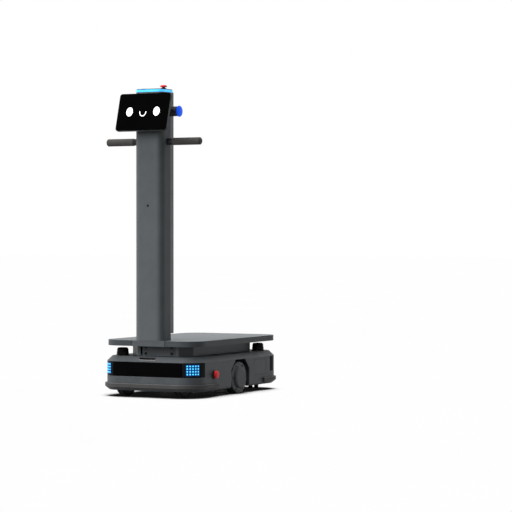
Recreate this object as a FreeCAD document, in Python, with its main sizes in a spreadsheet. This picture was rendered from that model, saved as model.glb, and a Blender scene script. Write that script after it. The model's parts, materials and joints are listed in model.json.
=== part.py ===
"""Autonomous mobile robot with a lifting deck, a control column and a tilting display.

The robot's front faces -Y and +Z is up. Every length is in millimetres. Heights are measured
from the floor and Y places from the drive axle; the drive axle itself lies `axle_y` behind the
origin, which is the middle of the robot's footprint box on the floor.
"""
import FreeCAD
import Part
import math
import os
import re

import Sketcher
from FreeCAD import Placement, Rotation, Vector

SIZES = {
    # whole robot
    "axle_y": 32.9,
    # lower casing: a moulded shell with a bevelled shoulder
    "shell_width": 506, "shell_length": 852, "shell_y": -8, "shell_corner": 95, "shell_wall": 6,
    "shell_bottom": 30, "shell_top": 186, "bevel_width": 24, "bevel_height": 23,
    "hatchway_width": 304, "hatchway_length": 624, "hatchway_corner": 72,
    # black band let into the shell, with the window and the corner lamps
    "band_depth": 3, "band_low": 95, "band_high": 162, "window_half": 183, "lamp_end": 344,
    "rear_band_low": 90, "rear_band_high": 160, "rear_band_start": 302, "seam": 0.4,
    # wheel arch in each side
    "arch_half": 90, "arch_top_half": 48, "arch_shoulder": 115, "arch_top": 161, "arch_rib": 169,
    # sensor slot in the front bevel
    "slot_width": 85, "slot_height": 14, "slot_depth": 8, "slot_x": -6, "slot_rise": 4,
    # emergency stop in each side
    "estop_y": 260, "estop_z": 103, "estop_sleeve": 11,
    # service cover in the right side
    "cover_start": 139, "cover_end": 262, "cover_low": 77.5, "cover_high": 153.5, "cover_depth": 2,
    # rubber bumpers
    "bumper_out": 10, "bumper_low": 30, "bumper_high": 62, "bumper_start": 228,
    "bumper_chamfer": 20, "bumper_slope": 16,
    # chassis plate and the drive units on it
    "frame_low": 94, "frame_plate": 6, "frame_corner": 112,
    "well_half": 92, "well_start": 168, "motor_slot_half": 46, "motor_slot_start": 40,
    "wheel_radius": 75, "wheel_face": 246, "tyre_width": 40, "tyre_depth": 13,
    "motor_radius": 38, "motor_end": 62, "motor_face": 156, "shaft_radius": 8.95, "shaft_bore": 9,
    "bracket_plate": 8, "cap_radius": 51, "cap_height": 11,
    # casters
    "caster_x": 150, "caster_y": 328, "trail": 24, "caster_radius": 37.5, "caster_width": 48,
    "leg_plate": 7, "tread_gap": 8, "pin_radius": 4, "pin_bore": 4.05, "stem_radius": 7.95,
    "stem_bore": 8, "front_swivel": -30, "rear_swivel": 27,
    # raised frame under the deck
    "skirt_width": 318, "skirt_length": 660, "skirt_y": -4, "skirt_chamfer": 50, "skirt_wall": 3, "skirt_top": 233.5,
    "front_opening": 92, "bracket_front": 327, "duct_radius": 8, "duct_x": -166.8, "duct_y": -262,
    # lifting deck
    "deck_width": 500, "deck_length": 840, "deck_y": -5, "deck_corner": 90, "deck_low": 234, "deck_top": 260,
    "deck_wall": 4, "notch_half": 90.5, "notch_end": 258, "rail_low": 236,
    # lift: four guide rods and a central ram
    "guide_x": 125, "guide_y": 245, "guide_rod": 10, "guide_bore": 10.05, "guide_tube": 20,
    "guide_top": 222, "ram_radius": 15, "ram_bore": 15.05, "ram_tube": 30, "ram_top": 205, "rod_low": 115,
    # column and what carries it
    "foot_half": 88.5, "foot_front": 425, "foot_back": 260,
    "column_width": 148, "column_front": 426, "column_corner": 30, "column_wall": 3,
    "column_split": 347, "column_rear": 322, "cover_rear": 314, "rear_corner": 6, "column_top": 1395, "cover_foot": 292,
    "spine_half": 30, "spine_front": 392, "spine_back": 348, "spine_wall": 4,
    "ring_height": 11, "ring_thick": 8, "cap_plate": 3, "handle_y": 370, "handle_z": 1169,
    "bar_radius": 12.5, "bar_end": 240, "grip_radius": 17, "grip_start": 100, "grip_end": 242,
    "button_z": 1306, "barrel_radius": 22.5, "barrel_end": 126, "lens_z": 876,
    # display
    "display_width": 267, "display_height": 178, "display_corner": 13, "display_depth": 12,
    "glass_depth": 2, "display_tilt": 15.8, "display_y": 456.3, "display_z": 1298.3,
    "hinge_reach": 11, "knuckle_radius": 8, "knuckle_half": 21.5, "hinge_pin": 4, "hinge_bore": 4.05,
}

doc = FreeCAD.newDocument("mobile_robot")
sheet = doc.addObject("Spreadsheet::Sheet", "Sizes")
for row, (alias, number) in enumerate(SIZES.items(), start=1):
    sheet.set(f"A{row}", alias)
    sheet.set(f"B{row}", str(number))
    sheet.setAlias(f"B{row}", alias)
doc.recompute()

TURNS = {
    "z": Rotation(),
    "x": Rotation(Vector(0, 1, 0), 90),
    "-x": Rotation(Vector(0, 1, 0), -90),
    "y": Rotation(Vector(1, 0, 0), -90),
    "-y": Rotation(Vector(1, 0, 0), 90),
    "side": Rotation(Vector(1, 1, 1), 120),
}
nodes = {}


def bound(text):
    """An expression in which every alias is prefixed with the name of the sheet."""
    return re.sub(r"\b[a-z]\w+\b(?!\()", lambda word: "Sizes." + word.group(), str(text))


def value(text):
    """The number that an expression over the sheet's aliases gives now."""
    return float(sheet.evalExpression(bound(text)))


def place(item, x=0, y=0, z=0, turn="z"):
    """Stand an object at x, at y from the drive axle and at z above the floor."""
    item.Placement = Placement(Vector(), TURNS[turn])
    item.setExpression("Placement.Base.x", bound(x))
    item.setExpression("Placement.Base.y", bound(f"axle_y + ({y})"))
    item.setExpression("Placement.Base.z", bound(z))
    return item


def keep(name, item):
    """Label an object as one of the robot's own pieces."""
    item.Label = name
    nodes[name] = item
    return item


def block(name, size, low, turn="z"):
    """A box with its low corner at `low`."""
    item = doc.addObject("Part::Box", name)
    for prop, length in zip(("Length", "Width", "Height"), size):
        item.setExpression(prop, bound(length))
    return place(item, *low, turn=turn)


def span(name, x, y, z):
    """A box given by its two limits along each axis."""
    size = [f"({high}) - ({low})" for low, high in (x, y, z)]
    return block(name, size, [x[0], y[0], z[0]])


def rod(name, radius, length, start, turn="z"):
    """A cylinder that starts at `start` and runs along the turned Z axis."""
    item = doc.addObject("Part::Cylinder", name)
    item.setExpression("Radius", bound(radius))
    item.setExpression("Height", bound(length))
    return place(item, *start, turn=turn)


def cut(name, base, *tools):
    """The base less every tool, one cut after another."""
    for tool in tools:
        item = doc.addObject("Part::Cut", name)
        item.Base = base
        item.Tool = tool
        base = item
    return base


def fuse(name, *items):
    """Several solids made one, or grouped when they do not touch."""
    item = doc.addObject("Part::MultiFuse", name)
    item.Shapes = list(items)
    return item


def common(name, *items):
    """What several solids share."""
    item = doc.addObject("Part::MultiCommon", name)
    item.Shapes = list(items)
    return item


def fix_point(sketch, line, x, y):
    """Bind the start of a sketch line to expressions measured from the sketch's origin."""
    for kind, text in (("DistanceX", x), ("DistanceY", y)):
        index = sketch.addConstraint(Sketcher.Constraint(kind, -1, 1, line, 1, value(text)))
        sketch.setExpression(f"Constraints[{index}]", bound(text))


def draw_polygon(sketch, points):
    """A closed outline of straight lines through points given as pairs of expressions."""
    corners = [Vector(value(x), value(y), 0) for x, y in points]
    count = len(corners)
    for index in range(count):
        sketch.addGeometry(Part.LineSegment(corners[index], corners[(index + 1) % count]))
    for index in range(count):
        sketch.addConstraint(Sketcher.Constraint("Coincident", index, 2, (index + 1) % count, 1))
    for index, (x, y) in enumerate(points):
        fix_point(sketch, index, x, y)


def draw_rounded(sketch, half_x, half_y, corner):
    """A rectangle about the sketch's origin with four equal rounded corners."""
    x, y, r = value(half_x), value(half_y), value(corner)
    sides = [((r - x, -y), (x - r, -y)), ((x, r - y), (x, y - r)),
             ((x - r, y), (r - x, y)), ((-x, y - r), (-x, r - y))]
    centres = [(x - r, r - y), (x - r, y - r), (r - x, y - r), (r - x, r - y)]
    for index, (side, centre) in enumerate(zip(sides, centres)):
        sketch.addGeometry(Part.LineSegment(Vector(*side[0], 0), Vector(*side[1], 0)))
        circle = Part.Circle(Vector(*centre, 0), Vector(0, 0, 1), r)
        start = math.radians(90 * (index - 1))
        sketch.addGeometry(Part.ArcOfCircle(circle, start, start + math.pi / 2))
    for line in (0, 2, 4, 6):
        sketch.addConstraint(Sketcher.Constraint("Tangent", line, 2, line + 1, 1))
        sketch.addConstraint(Sketcher.Constraint("Tangent", line + 1, 2, (line + 2) % 8, 1))
    for line, kind in ((0, "Horizontal"), (2, "Vertical"), (4, "Horizontal"), (6, "Vertical")):
        sketch.addConstraint(Sketcher.Constraint(kind, line))
    for arc in (3, 5, 7):
        sketch.addConstraint(Sketcher.Constraint("Equal", 1, arc))
    sized = [(corner, ("Radius", 1, r)), (half_x, ("DistanceX", -1, 1, 2, 1, x)),
             (half_x, ("DistanceX", 6, 1, -1, 1, x)), (half_y, ("DistanceY", -1, 1, 4, 1, y)),
             (half_y, ("DistanceY", 0, 1, -1, 1, y))]
    for text, terms in sized:
        index = sketch.addConstraint(Sketcher.Constraint(*terms))
        sketch.setExpression(f"Constraints[{index}]", bound(text))


def extrude(name, sketch, length):
    """A solid that runs from a sketch along its normal."""
    item = doc.addObject("Part::Extrusion", name)
    item.Base = sketch
    item.DirMode = "Normal"
    item.Solid = True
    item.setExpression("LengthFwd", bound(length))
    return item


def slab(name, half_x, half_y, corner, low, high, y=0):
    """An upright prism with a rounded rectangular plan."""
    sketch = doc.addObject("Sketcher::SketchObject", name + "_plan")
    draw_rounded(sketch, half_x, half_y, corner)
    place(sketch, 0, y, low)
    return extrude(name, sketch, f"({high}) - ({low})")


def prism(name, points, start, length, turn="z"):
    """A prism on a polygon: upright from z = start, or along X from x = start when turned."""
    sketch = doc.addObject("Sketcher::SketchObject", name + "_outline")
    draw_polygon(sketch, points)
    if turn == "side":
        place(sketch, start, 0, 0, turn)
    else:
        place(sketch, 0, 0, start, turn)
    return extrude(name, sketch, length)


def body_sketch(body, name, role):
    """A sketch on one of a body's own origin planes."""
    sketch = body.newObject("Sketcher::SketchObject", name)
    plane = next(item for item in body.Origin.OriginFeatures if item.Role == role)
    sketch.AttachmentSupport = [(plane, "")]
    sketch.MapMode = "FlatFace"
    return sketch


def turned(name, profile, start, turn="z"):
    """A turned piece: half profile points are (radius, height) along the turned Z axis."""
    body = doc.addObject("PartDesign::Body", name)
    sketch = body_sketch(body, name + "_profile", "XZ_Plane")
    draw_polygon(sketch, profile)
    revolution = body.newObject("PartDesign::Revolution", name + "_turn")
    revolution.Profile = sketch
    revolution.ReferenceAxis = (sketch, ["V_Axis"])
    revolution.Angle = 360
    return place(body, *start, turn=turn)


def sides():
    """The right and left side of the robot: name, sign and outward direction."""
    return (("right", 1, "x"), ("left", -1, "-x"))


# ---------------------------------------------------------------- lower casing

def shell_outline(name, grow, low, high):
    """An upright prism on the casing's plan, made larger by `grow` all round."""
    return slab(name, f"shell_width / 2 + ({grow})", f"shell_length / 2 + ({grow})",
                f"shell_corner + ({grow})", low, high, "shell_y")


def make_shell_body():
    """The moulded casing: pad, bevelled shoulder, sloped underside, thinned walls and arches."""
    body = doc.addObject("PartDesign::Body", "shell_body")
    plan = body_sketch(body, "shell_plan", "XY_Plane")
    draw_rounded(plan, "shell_width / 2", "shell_length / 2", "shell_corner")
    pad = body.newObject("PartDesign::Pad", "shell_pad")
    pad.Profile = plan
    pad.setExpression("Length", bound("shell_top - shell_bottom"))
    doc.recompute()
    height = value("shell_top - shell_bottom")
    rim = [f"Edge{n}" for n, edge in enumerate(pad.Shape.Edges, start=1)
           if all(abs(v.Point.z - height) < 1e-6 for v in edge.Vertexes)]
    bevel = body.newObject("PartDesign::Chamfer", "shell_bevel")
    bevel.Base = (pad, rim)
    bevel.ChamferType = "Two distances"
    bevel.setExpression("Size", bound("bevel_height"))
    bevel.setExpression("Size2", bound("bevel_width"))
    doc.recompute()
    foot = [f"Edge{n}" for n, edge in enumerate(bevel.Shape.Edges, start=1)
            if all(abs(v.Point.z) < 1e-6 for v in edge.Vertexes)]
    slope = body.newObject("PartDesign::Chamfer", "shell_slope")
    slope.Base = (bevel, foot)
    slope.ChamferType = "Two distances"
    slope.setExpression("Size", bound("bumper_slope * (1 - bumper_out / bumper_chamfer)"))
    slope.setExpression("Size2", bound("bumper_chamfer - bumper_out"))
    doc.recompute()
    floor = [f"Face{n}" for n, face in enumerate(slope.Shape.Faces, start=1)
             if abs(face.CenterOfMass.z) < 1e-6]
    walls = body.newObject("PartDesign::Thickness", "shell_walls")
    walls.Base = (slope, floor)
    walls.Mode = "Skin"
    walls.Join = "Intersection"
    walls.Reversed = True
    walls.setExpression("Value", bound("shell_wall"))
    arch = body_sketch(body, "arch_outline", "YZ_Plane")
    shoulder = "arch_shoulder - shell_bottom"
    crown = "arch_top - shell_bottom"
    draw_polygon(arch, [(f"{y} - shell_y", z) for y, z in (
        ("-arch_half", "-5"), ("-arch_half", shoulder), ("-arch_top_half", crown),
        ("arch_top_half", crown), ("arch_half", shoulder), ("arch_half", "-5"))])
    arches = body.newObject("PartDesign::Pocket", "wheel_arches")
    arches.Profile = arch
    arches.Type = "ThroughAll"
    arches.Midplane = True
    return place(body, 0, "shell_y", "shell_bottom")


def band(name, inset, low, high, front):
    """The black band's volume round the front or the rear of the casing."""
    outer = shell_outline(name + "_outer", f"-({inset})", low, high)
    inner = shell_outline(name + "_inner", "-band_depth", low, high)
    ring = cut(name + "_ring", outer, inner)
    if front:
        zone = span(name + "_zone", (-300, 300), (-500, "-lamp_end"), (low, high))
    else:
        zone = span(name + "_zone", (-300, 300), ("rear_band_start", 500), (low, high))
    return common(name, ring, zone)


def slot_box(name, width, height, start, depth):
    """A box square to the front bevel, from `start` to `start + depth` along the bevel's normal."""
    item = doc.addObject("Part::Box", name)
    for prop, length in zip(("Length", "Width", "Height"), (width, height, depth)):
        item.setExpression(prop, bound(length))
    slope = Rotation(Vector(1, 0, 0), math.degrees(math.atan2(value("bevel_height"), value("bevel_width"))))
    middle = Vector(value("slot_x"), value("axle_y + shell_y - shell_length / 2 + bevel_width / 2"),
                    value("shell_top - bevel_height / 2"))
    corner = Vector(-value(width) / 2, value("slot_rise") - value(height) / 2, value(start))
    item.Placement = Placement(middle + slope.multVec(corner), slope)
    return item


def make_casing():
    """The casing with its windows, corner lamps, sensor strip and service cover."""
    tools = [
        band("front_recess", -2, "band_low", "band_high", True),
        band("rear_recess", -2, "rear_band_low", "rear_band_high", False),
        slot_box("slot_recess", "slot_width", "slot_height", "-slot_depth", 12),
        span("cover_recess", ("shell_width / 2 - cover_depth", "shell_width / 2 + 5"),
             ("cover_start", "cover_end"), ("cover_low", "cover_high")),
        slab("hatchway", "hatchway_width / 2", "hatchway_length / 2", "hatchway_corner", 150, 200),
    ]
    ribs = []
    for side, sign, turn in sides():
        tools.append(rod(f"estop_hole_{side}", "estop_sleeve", 40,
                         (f"{sign} * (shell_width / 2 - 30)", "-estop_y", "estop_z"), turn))
        across = ("arch_rib", "shell_width / 2 - shell_wall + 1")
        if sign < 0:
            across = tuple(f"-({x})" for x in reversed(across))
        ribs += [span(f"rib_{side}_{end}", across, reach, ("shell_bottom + 1", "arch_top"))
                 for end, reach in (("front", (-91.4, -89)), ("rear", (89, 91.4)))]
    keep("body_shell", fuse("shell_ribbed", cut("shell_cut", make_shell_body(), *tools), *ribs))

    glass = band("window_band", 0.2, "band_low + seam", "band_high - seam", True)
    centre = span("window_zone", ("-window_half", "window_half"), (-500, 0), (0, 300))
    keep("front_window", common("window_part", glass, centre))
    lamps = cut("lamp_part", band("lamp_band", 0.2, "band_low + seam", "band_high - seam", True),
                span("lamp_gap", ("-window_half - seam", "window_half + seam"), (-500, 0), (0, 300)),
                span("lamp_trim", (-300, 300), ("-lamp_end - seam", 0), (0, 300)))
    keep("corner_lamps", lamps)
    keep("rear_window", cut("rear_glass", band("rear_band", 0.2, "rear_band_low + seam",
                                               "rear_band_high - seam", False),
                            span("rear_trim", (-300, 300), (0, "rear_band_start + seam"), (0, 300))))
    keep("front_sensor_strip", slot_box("sensor_strip", "slot_width + 6", "slot_height + 6",
                                        "-slot_depth", 2))
    keep("service_cover", span("cover_plate", ("shell_width / 2 - cover_depth", "shell_width / 2"),
                               ("cover_start + seam", "cover_end - seam"),
                               ("cover_low + seam", "cover_high - seam")))


def make_bumpers():
    """A rubber bumper round each end, with a sloped underside."""
    for name, front in (("front_bumper", True), ("rear_bumper", False)):
        body = doc.addObject("PartDesign::Body", name + "_body")
        plan = body_sketch(body, name + "_plan", "XY_Plane")
        draw_rounded(plan, "shell_width / 2 + bumper_out", "shell_length / 2 + bumper_out",
                     "shell_corner + bumper_out")
        pad = body.newObject("PartDesign::Pad", name + "_pad")
        pad.Profile = plan
        pad.setExpression("Length", bound("bumper_high - bumper_low"))
        doc.recompute()
        low_edges = [f"Edge{n}" for n, edge in enumerate(pad.Shape.Edges, start=1)
                     if all(abs(v.Point.z) < 1e-6 for v in edge.Vertexes)]
        slope = body.newObject("PartDesign::Chamfer", name + "_slope")
        slope.Base = (pad, low_edges)
        slope.ChamferType = "Two distances"
        slope.setExpression("Size", bound("bumper_slope"))
        slope.setExpression("Size2", bound("bumper_chamfer"))
        place(body, 0, "shell_y", "bumper_low")
        reach = (-500, "-bumper_start") if front else ("bumper_start", 500)
        zone = span(name + "_zone", (-300, 300), reach, (0, 100))
        casing = shell_outline(name + "_core", 0, 0, 100)
        keep(name, cut(name + "_cut", common(name + "_end", body, zone), casing))


def make_lidars():
    """A glossy turret on the front left and the rear right of the casing."""
    profile = [(0, 0), (30.5, 0), (30.5, 3), (28.5, 4), (28, 17), (26.5, 18), (26.5, 20.5),
               (27.2, 21.5), (26, 30), (21, 36), (0, 36)]
    keep("lidar_front_left", turned("lidar_front", profile, (-181.5, -345, "shell_top")))
    keep("lidar_rear_right", turned("lidar_rear", profile, (178, 322, "shell_top")))


# ---------------------------------------------------------------- chassis and drive

def make_frame():
    """The chassis plate with wheel wells, motor slots and four stiffening rails."""
    inner = "shell_width / 2 - shell_wall"
    plate = slab("frame_slab", inner, "shell_length / 2 - shell_wall", "frame_corner",
                 "frame_low", "frame_low + frame_plate", "shell_y")
    tools = []
    rails = []
    for side, sign, _ in sides():
        low, high = ("well_start", 260) if sign > 0 else (-260, "-well_start")
        tools.append(span(f"well_{side}", (low, high), ("-well_half", "well_half"), (50, 140)))
        low, high = ("motor_slot_start", 170) if sign > 0 else (-170, "-motor_slot_start")
        tools.append(span(f"motor_slot_{side}", (low, high),
                          ("-motor_slot_half", "motor_slot_half"), (50, 140)))
        low, high = (233, 260) if sign > 0 else (-260, -233)
        tools.append(span(f"estop_notch_{side}", (low, high), ("-estop_y - 14", "-estop_y + 14"), (50, 140)))
        low, high = (196, 226) if sign > 0 else (-226, -196)
        for end, reach in (("front", (-330, -110)), ("rear", (110, 330))):
            rails.append(span(f"rail_{side}_{end}", (low, high), reach,
                              ("frame_low + frame_plate", "frame_low + frame_plate + 24")))
    keep("chassis_frame", fuse("frame_weld", cut("frame_cut", plate, *tools), *rails))


def make_drive(side, sign, turn):
    """One drive unit: motor, bracket, and a wheel with its tyre, hub and cap."""
    axis = (0, 0, "wheel_radius")
    motor = turned(f"motor_{side}", [
        ("shaft_bore", "motor_face - 61"), ("shaft_bore", "motor_face"), ("motor_radius", "motor_face"),
        ("motor_radius", "motor_end + 3"), ("motor_radius - 3", "motor_end"), (25, "motor_end"),
        (25, "motor_end - 12"), (0, "motor_end - 12"), (0, "motor_face - 61")], axis, turn)
    keep(f"drive_motor_{side}", motor)
    start = "motor_face" if sign > 0 else "-motor_face - bracket_plate"
    top = "frame_low + frame_plate"
    sheet_metal = prism(f"bracket_{side}", [
        (-36, 44), (36, 44), (44, 60), (44, top), (70, top), (70, 112), (44, 130), (-44, 130),
        (-70, 112), (-70, top), (-44, top), (-44, 60)], start, "bracket_plate", "side")
    hole = rod(f"bracket_hole_{side}", 15, 30, (f"{sign} * (motor_face - 10)", 0, "wheel_radius"), turn)
    bracket = cut(f"bracket_{side}_bored", sheet_metal, hole)
    inner = "wheel_face - 3 - tyre_width"
    tyre = turned(f"tyre_{side}", [
        ("wheel_radius - tyre_depth", inner), ("wheel_radius - 3", inner), ("wheel_radius", f"{inner} + 4"),
        ("wheel_radius", "wheel_face - 7"), ("wheel_radius - 3", "wheel_face - 3"),
        ("wheel_radius - tyre_depth", "wheel_face - 3")], axis, turn)
    keep(f"drive_tyre_{side}", tyre)
    keep(f"drive_hub_{side}", turned(f"hub_{side}", [
        (0, "motor_face - 56"), ("shaft_radius", "motor_face - 56"), ("shaft_radius", f"{inner} + 10"),
        (50, f"{inner} + 10"), (52, inner), ("wheel_radius - tyre_depth", inner),
        ("wheel_radius - tyre_depth", "wheel_face - 3"), ("wheel_radius - 2", "wheel_face - 3"),
        ("wheel_radius - 2", "wheel_face - 1"), ("wheel_radius - 3", "wheel_face"), (0, "wheel_face")],
        axis, turn))
    keep(f"hub_cap_{side}", turned(f"cap_{side}", [
        (0, "wheel_face"), ("cap_radius", "wheel_face"), ("cap_radius - 1", "wheel_face + 4"),
        ("cap_radius - 5", "wheel_face + cap_height - 2"),
        ("cap_radius - 11", "wheel_face + cap_height"), (0, "wheel_face + cap_height")], axis, turn))
    return bracket


def make_caster(name, x, y, way, swivel):
    """One twin-wheel caster: mount under the chassis plate, leg on its stem, and wheel set on its pin."""
    plate = span(f"caster_plate_{name}", (f"{x} - 32", f"{x} + 32"), (f"{y} - 30", f"{y} + 30"),
                 ("frame_low - 5", "frame_low"))
    boss = span(f"caster_boss_{name}", (f"{x} - 21", f"{x} + 21"), (f"{y} - 21", f"{y} + 21"),
                ("frame_low - 12", "frame_low - 5"))
    socket = rod(f"caster_socket_{name}", "stem_bore", 10.5, (x, y, "frame_low - 12.5"))
    mount = cut(f"caster_mount_{name}", fuse(f"caster_housing_{name}", plate, boss), socket)
    crown_top = "frame_low - 12.3"
    crown = rod(f"caster_crown_{name}", 21, 4.2, (x, y, f"{crown_top} - 4.2"))
    stem = rod(f"caster_stem_{name}", "stem_radius", 10, (x, y, crown_top))
    points = [(f"{y} + {way} * ({along})", z) for along, z in (
        (-17, f"{crown_top} - 1"), (-17, f"{crown_top} - 9"), ("trail - 9", "caster_radius - 9"),
        ("trail + 9", "caster_radius - 9"), ("trail + 9", "caster_radius + 9"), (20, f"{crown_top} - 1"))]
    leg = prism(f"caster_leg_{name}", points, f"{x} - leg_plate / 2", "leg_plate", "side")
    axle = (x, f"{y} + {way} * trail", "caster_radius")
    eye = rod(f"caster_eye_{name}", "pin_bore", 40, (f"{x} - 20", *axle[1:]), "x")
    fork = cut(f"caster_arm_{name}", fuse(f"caster_frame_{name}", crown, stem, leg), eye)
    half = "caster_width / 2"
    gap = "tread_gap / 2"
    treads = [turned(f"caster_tread_{name}_{n}", [
        (0, gap), ("caster_radius", gap), ("caster_radius", f"{half} - 3"),
        ("caster_radius - 3", half), (0, half)], axle, turn) for n, turn in enumerate(("x", "-x"))]
    pin = rod(f"caster_pin_{name}", "pin_radius", "tread_gap", (f"{x} - {gap}", *axle[1:]), "x")
    pair = fuse(f"caster_set_{name}", *treads, pin)
    stem_foot = Vector(value(x), value(f"axle_y + ({y})"), 0)
    for item in (fork, pair):
        item.Placement = Placement(Vector(), Rotation(Vector(0, 0, 1), value(swivel)), stem_foot)
    keep(f"caster_fork_{name}", fork)
    keep(f"caster_wheel_{name}", pair)
    return mount


def make_casters():
    """Four casters, trailing outwards and each swivelled a little."""
    mounts = []
    for end, way, swivel in (("front", -1, "front_swivel"), ("rear", 1, "rear_swivel")):
        for side, sign, _ in sides():
            mounts.append(make_caster(f"{end}_{side}", f"{sign} * caster_x",
                                      f"{way} * caster_y", way, swivel))
    keep("caster_mounts", fuse("caster_mount_group", *mounts))


def make_inner_units():
    """Battery and control unit on the chassis plate."""
    base = "frame_low + frame_plate"
    pack = slab("battery_case", 90, 105, 8, base, f"{base} + 72", 205)
    grip = span("battery_strap", (-15, 15), (120, 290), (f"{base} + 72", f"{base} + 75"))
    keep("battery_pack", fuse("battery", pack, grip))
    case = slab("control_case", 88, 66, 5, base, f"{base} + 56", -220)
    fins = [span(f"control_fin_{n}", (-80 + 16 * n, -76 + 16 * n), (-280, -160),
                 (f"{base} + 56", f"{base} + 66")) for n in range(11)]
    keep("control_unit", fuse("control", case, *fins))


# ---------------------------------------------------------------- lift and deck

def chamfered(name, shrink, low, high):
    """An upright prism on the raised frame's plan with 45 degree corners, made smaller by `shrink`."""
    x = f"skirt_width / 2 - {shrink}"
    y = f"skirt_length / 2 - {shrink}"
    c = f"skirt_chamfer - {shrink} * (2 - 1.41421356)"
    points = []
    for sx, sy, first in ((1, -1, "y"), (1, 1, "x"), (-1, 1, "y"), (-1, -1, "x")):
        on_x = (f"{sx} * ({x} - ({c}))", f"skirt_y + {sy} * ({y})")
        on_y = (f"{sx} * ({x})", f"skirt_y + {sy} * ({y} - ({c}))")
        points += [on_x, on_y] if first == "y" else [on_y, on_x]
    return prism(name, points, low, f"({high}) - ({low})")


def make_skirt():
    """The raised frame between casing and deck: a folded wall, open in front, and a cable duct."""
    opening = span("skirt_opening", ("-front_opening", "front_opening"), (-400, -300),
                   ("shell_top + 3", "skirt_top + 1"))
    wall = cut("skirt_wall", chamfered("skirt_outer", "0", "shell_top", "skirt_top"),
               chamfered("skirt_inner", "skirt_wall", "shell_top", "skirt_top"), opening)
    duct = rod("cable_duct", "duct_radius", "skirt_top - shell_top", ("duct_x", "duct_y", "shell_top"))
    keep("lift_frame", fuse("raised_frame", wall, duct))


def make_lift():
    """Guide tubes and ram housing on the chassis; guide rods and ram under the deck."""
    base = "frame_low + frame_plate"
    tubes = []
    rods = []
    for n, (sx, sy) in enumerate(((-1, -1), (1, -1), (1, 1), (-1, 1))):
        x, y = f"{sx} * guide_x", f"{sy} * guide_y"
        tube = turned(f"guide_tube_{n}", [
            ("guide_bore", base), (29, base), (29, f"{base} + 6"), ("guide_tube", f"{base} + 6"),
            ("guide_tube", "guide_top"), ("guide_bore", "guide_top")], (x, y, 0))
        tubes.append(tube)
        rods.append(rod(f"guide_rod_{n}", "guide_rod", "rail_low - rod_low", (x, y, "rod_low")))
    keep("lift_guides", fuse("guide_group", *tubes))
    rods.append(rod("ram", "ram_radius", "rail_low - rod_low", (0, 0, "rod_low")))
    keep("lift_rods", fuse("rod_group", *rods))
    housing = turned("ram_housing", [
        ("ram_bore", f"{base} + 12"), ("ram_bore", "ram_top"), ("ram_tube", "ram_top"),
        ("ram_tube", f"{base}"), (0, base), (0, f"{base} + 12")], (0, 0, 0))
    gearbox = span("ram_gearbox", (-28, 28), (0, 84), (base, f"{base} + 30"))
    bore = rod("ram_gearbox_bore", "ram_bore", 60, (0, 0, f"{base} + 12"))
    motor = rod("ram_motor", 21, 66, (0, 60, f"{base} + 30"))
    keep("lift_actuator", fuse("actuator", housing, cut("gearbox_bored", gearbox, bore), motor))


def make_deck():
    """The deck: a folded pan with a notch for the column's foot, and the welded frame under it."""
    outer = slab("deck_outer", "deck_width / 2", "deck_length / 2", "deck_corner", "deck_low", "deck_top",
                 "deck_y")
    hollow = slab("deck_hollow", "deck_width / 2 - deck_wall", "deck_length / 2 - deck_wall",
                  "deck_corner - deck_wall", "deck_low", "deck_top - deck_wall", "deck_y")
    notch = span("deck_notch", ("-notch_half", "notch_half"), (-500, "-notch_end"), (200, 300))
    lip = span("notch_lip", ("-notch_half - deck_wall", "notch_half + deck_wall"),
               ("deck_y - deck_length / 2 + 1", "deck_wall - notch_end"), ("deck_low", "deck_top - 1"))
    pan = fuse("deck_pan", cut("deck_folded", outer, hollow), lip)
    keep("lift_deck", cut("deck_notched", pan, notch))
    beams = []
    top = "deck_top - deck_wall"
    for side, sign, _ in sides():
        low, high = (110, 140) if sign > 0 else (-140, -110)
        beams.append(span(f"deck_rail_{side}", (low, high), (-300, 300), ("rail_low", top)))
    for n, (low, high) in enumerate(((-253, -229), (-20, 20), (229, 261))):
        beams.append(span(f"deck_beam_{n}", (-115, 115), (low, high), ("rail_low", top)))
    keep("deck_frame", fuse("deck_weld", *beams))


# ---------------------------------------------------------------- column

def column_prism(name, inset, low, high, corner="rear_corner", rear_end="column_rear"):
    """An upright prism on the column's plan: round front corners, tighter ones behind."""
    half = f"column_width / 2 - ({inset})"
    depth = f"60 - ({inset})"
    front = slab(name + "_front", half, depth, f"column_corner - ({inset})", low, high,
                 "60 - column_front")
    behind = span(name + "_behind", (-100, 100), ("-column_split", 0), (low, high))
    rear = slab(name + "_rear", half, f"40 - ({inset})", corner, low, high, f"-{rear_end} - 40")
    ahead = span(name + "_ahead", (-100, 100), (-600, "-column_split"), (low, high))
    return cut(name + "_f", front, behind), cut(name + "_r", rear, ahead)


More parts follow.
